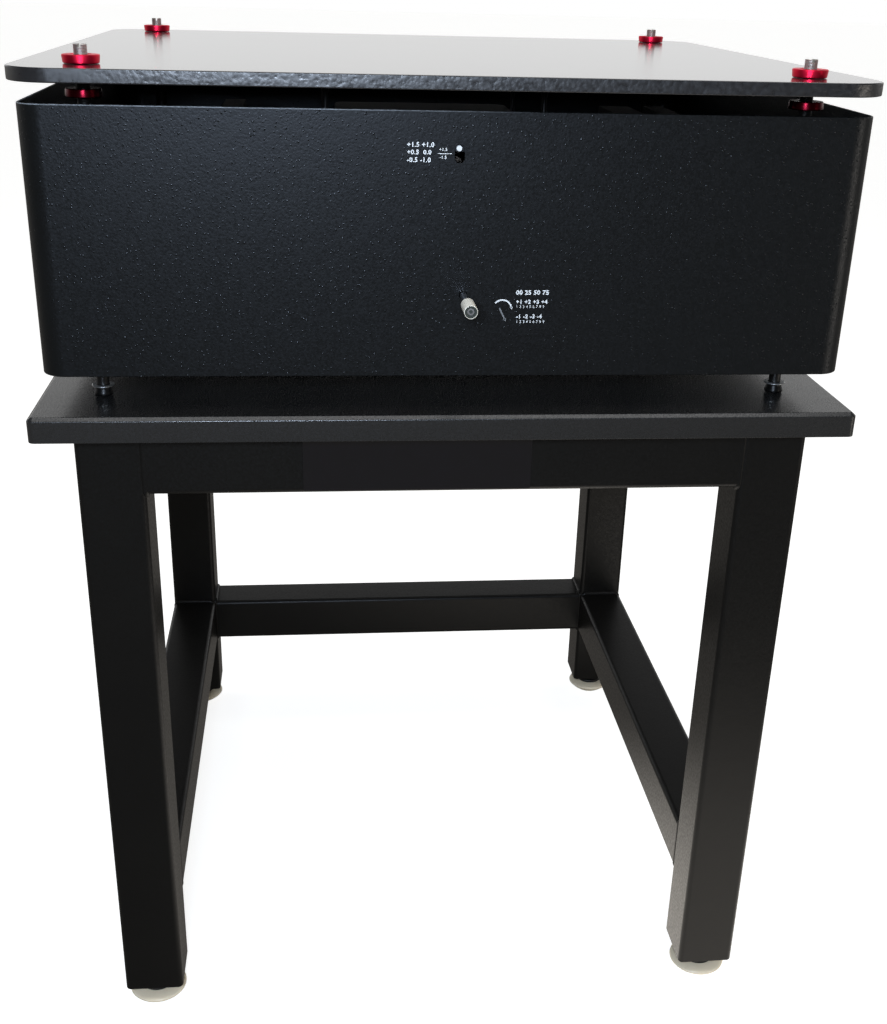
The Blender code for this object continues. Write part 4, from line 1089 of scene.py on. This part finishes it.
def addLeaf(name, node, first, last):
    # A leaf from first to last, shares of its length, extruded in steps: wide in its seats, narrower between
    low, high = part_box(node)
    length = high.x - low.x
    seat, taper = leaf["seat"], leaf["seat"] + leaf["taper"]
    wide, narrow = leaf["width"], leaf["waist"]
    stations = [(0, wide), (seat, wide), (taper, narrow)]
    stations += [(x, narrow) for x in sharesOf(taper, length / 2, leaf["steps"] // 2)]
    stations += [(length - x, width) for x, width in reversed(stations[:-1])]
    lowest, highest = first * length - merged, last * length + merged
    stations = [(x, width) for x, width in stations if lowest < x < highest]
    (start, width), (end, _) = stations[:2]
    middle = (low + high) / 2
    strip = addBlock(
        name, (low.x + start, middle.y - width / 2, low.z), (low.x + end, middle.y + width / 2, high.z),
    )
    startEditing(strip)
    for x, newWidth in stations[2:]:
        selectFaces(lambda centre, normal: normal.x > 0.9 and centre.x > low.x + end - merged)
        bpy.ops.mesh.extrude_region_move(TRANSFORM_OT_translate={"value": (x - end, 0, 0)})
        bpy.ops.transform.resize(value=(1, newWidth / width, 1), center_override=middle)
        end, width = x, newWidth
    faceOutwards()
    return strip


def makeLeaves():
    seat = Vector((leaf["seat"], 0, 0))
    low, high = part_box("flexure_left")
    rightLow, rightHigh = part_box("flexure_right")
    middle = middleOf("flexure_right")
    inner = (rightLow.x + leaf["seat"], middle.y, middle.z)
    outer = (rightHigh.x - leaf["seat"], middle.y, middle.z)
    for side, node, first, last, bodies in (
        ("left", "flexure_left", 0, 1, ("base", "hub_carriage", low + seat, high - seat)),
        ("right_inner", "flexure_right", 0, 0.5, ("hub_carriage", "base", inner, middle)),
        ("right_outer", "flexure_right", 0.5, 1, ("base", "thrust", middle, outer)),
    ):
        piece = addLeaf(f"flexure_leaf_{side}", node, first, last)
        finishPiece(piece, "springSteel", bodies, [node] if first == 0 else ())


def addCoil(name, pitch, turns):
    # A closed end turn and some active turns, each screwed from the wire's own circle
    parts = []
    closed = coil["wire"] + coil["endPitch"]
    for base, rise, count in ((coil["wire"], coil["endPitch"], 1), (closed, pitch, turns)):
        deselectAll()
        bpy.ops.mesh.primitive_circle_add(
            vertices=coil["sides"], radius=coil["wire"],
            location=(coil["radius"], 0, base), rotation=(quarter, 0, 0),
        )
        part = bpy.context.object
        bpy.ops.object.transform_apply(location=True, rotation=True)
        steps = round(coil["steps"] * count)
        applyModifier(
            part, "SCREW", axis="Z", angle=2 * math.pi * count, screw_offset=rise * count,
            steps=steps, render_steps=steps,
        )
        parts.append(part)
    wire = joinPieces(name, parts)
    startEditing(wire)
    selectAll()
    bpy.ops.mesh.remove_doubles(threshold=coil["merged"])
    bpy.ops.mesh.fill_holes(sides=0)
    faceOutwards()
    return wire


def makeSupportSpring():
    # The nut below and the hub above press on it, each on its own turns
    low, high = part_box("support_spring")
    centre = Vector((middleOf("adjuster_shaft").x, middleOf("hub").y, 0))
    closed = coil["wire"] + coil["endPitch"]
    pitch = (high.z - low.z - 2 * closed) / (coil["lowerTurns"] + coil["upperTurns"])
    seatBend = centre + (low.z + closed) * upright
    split = seatBend + coil["lowerTurns"] * pitch * upright
    hubBend = centre + (high.z - closed) * upright
    lower = addCoil("support_spring_lower", pitch, coil["lowerTurns"])
    place(lower, centre + low.z * upright)
    bodies = ("seat_nut", "base", seatBend, split)
    finishPiece(lower, "springSteel", bodies, ["support_spring"])
    upper = addCoil("support_spring_upper", pitch, coil["upperTurns"])
    place(upper, centre + high.z * upright, (math.pi, 0, 0))
    finishPiece(upper, "springSteel", ("base", "hub_carriage", split, hubBend))


makeColumns()
makeLeaves()
makeSupportSpring()
print("springy pieces made")

# What stays a CAD node inside the casing gets its finish here
keptNodes = {
    "coverCoat": ["base_plate", "indicator_arm"],
    # The parts seen through the gap under the plate take the near black of painted shade
    "insideShadeBlack": [
        "gear_bracket", "hub", "flexure_post_left", "flexure_post_right", "thrust_block", "carriage_frame",
        "plate_frame",
    ],
    "milledAluminium": ["spring_seat"],
    "groundSteel": ["adjuster_shaft", "bevel_gear", "pinion", "lead_screw", "guide_rod", "stiffness_screw"],
}
for finish, names in keptNodes.items():
    for name in names:
        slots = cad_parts[name].data.materials
        slots.clear()
        slots.append(finishes[finish])
print("kept nodes dressed")


# Floor and surroundings

def makeFloor():
    deselectAll()
    bpy.ops.mesh.primitive_plane_add(size=floorLook["width"], location=(0, 0, 0))
    floor = bpy.context.object
    floor.name = "floor"
    material, tree, shader = startMaterial("pale_floor", {
        "Base Color": linear(floorLook["colour"]), "Roughness": floorLook["roughness"],
        "Specular IOR Level": floorLook["specular"],
    })
    path = addNode(tree, "LightPath").outputs
    spot = addNode(tree, "TexCoord").outputs["Object"]
    reach = addNode(tree, "VectorMath", {0: spot, 1: floorLook["pool"]}, operation="DISTANCE")
    pool = addNode(tree, "MapRange", {
        "Value": reach.outputs["Value"],
        "From Min": floorLook["poolCore"], "From Max": floorLook["poolRadius"],
        "To Min": floorLook["poolGlow"], "To Max": floorLook["dim"],
    }, interpolation_type="SMOOTHSTEP")
    lifted = addNode(tree, "Math", {0: path["Is Camera Ray"], 1: floorLook["lift"]}, operation="MULTIPLY")
    lift = addNode(tree, "Emission", {"Color": (1, 1, 1, 1), "Strength": lifted})
    lit = addNode(tree, "AddShader", {0: shader, 1: lift})
    # Glossy rays see the painted pool of light in place of the floor's lit colour
    glow = addNode(tree, "Emission", {"Color": linear(floorLook["poolColour"]), "Strength": pool})
    both = addNode(tree, "MixShader", {0: path["Is Glossy Ray"], 1: lit, 2: glow})
    feed(tree, tree.nodes["Material Output"], {"Surface": both})
    floor.data.materials.append(material)


def makeSurroundings():
    world = bpy.data.worlds.new("studio")
    bpy.context.scene.world = world
    world.use_nodes = True
    tree = world.node_tree
    path = addNode(tree, "LightPath").outputs
    direction = addNode(tree, "SeparateXYZ", {0: addNode(tree, "TexCoord").outputs["Generated"]})
    behind = addNode(tree, "MapRange", {
        "Value": direction.outputs["Y"],
        "From Min": surroundings["roomSide"], "From Max": surroundings["wallSide"],
    }, interpolation_type="SMOOTHSTEP")
    below = addNode(tree, "MapRange", {
        "Value": direction.outputs["Z"],
        "From Min": surroundings["wallHigh"], "From Max": surroundings["wallLow"],
    }, interpolation_type="SMOOTHSTEP")
    both = addNode(tree, "Math", {0: behind, 1: below}, operation="MULTIPLY")
    wall = addNode(tree, "MapRange", {
        "Value": both, "To Min": surroundings["room"], "To Max": surroundings["wall"],
    })
    mirrored = addNode(tree, "Math", {
        0: path["Is Glossy Ray"], 1: path["Is Transmission Ray"],
    }, operation="MAXIMUM")
    around = addNode(tree, "Mix", {0: mirrored, 2: surroundings["ambient"], 3: wall})
    strength = addNode(tree, "Math", {0: around, 1: path["Is Camera Ray"]}, operation="MAXIMUM")
    feed(tree, tree.nodes["Background"], {"Color": (1, 1, 1, 1), "Strength": strength})


makeFloor()
makeSurroundings()
placeCamera()
for name, light in lights.items():
    placeLight(name, light)
bpy.context.scene.view_settings.view_transform = "Standard"
print("camera, light and floor placed")
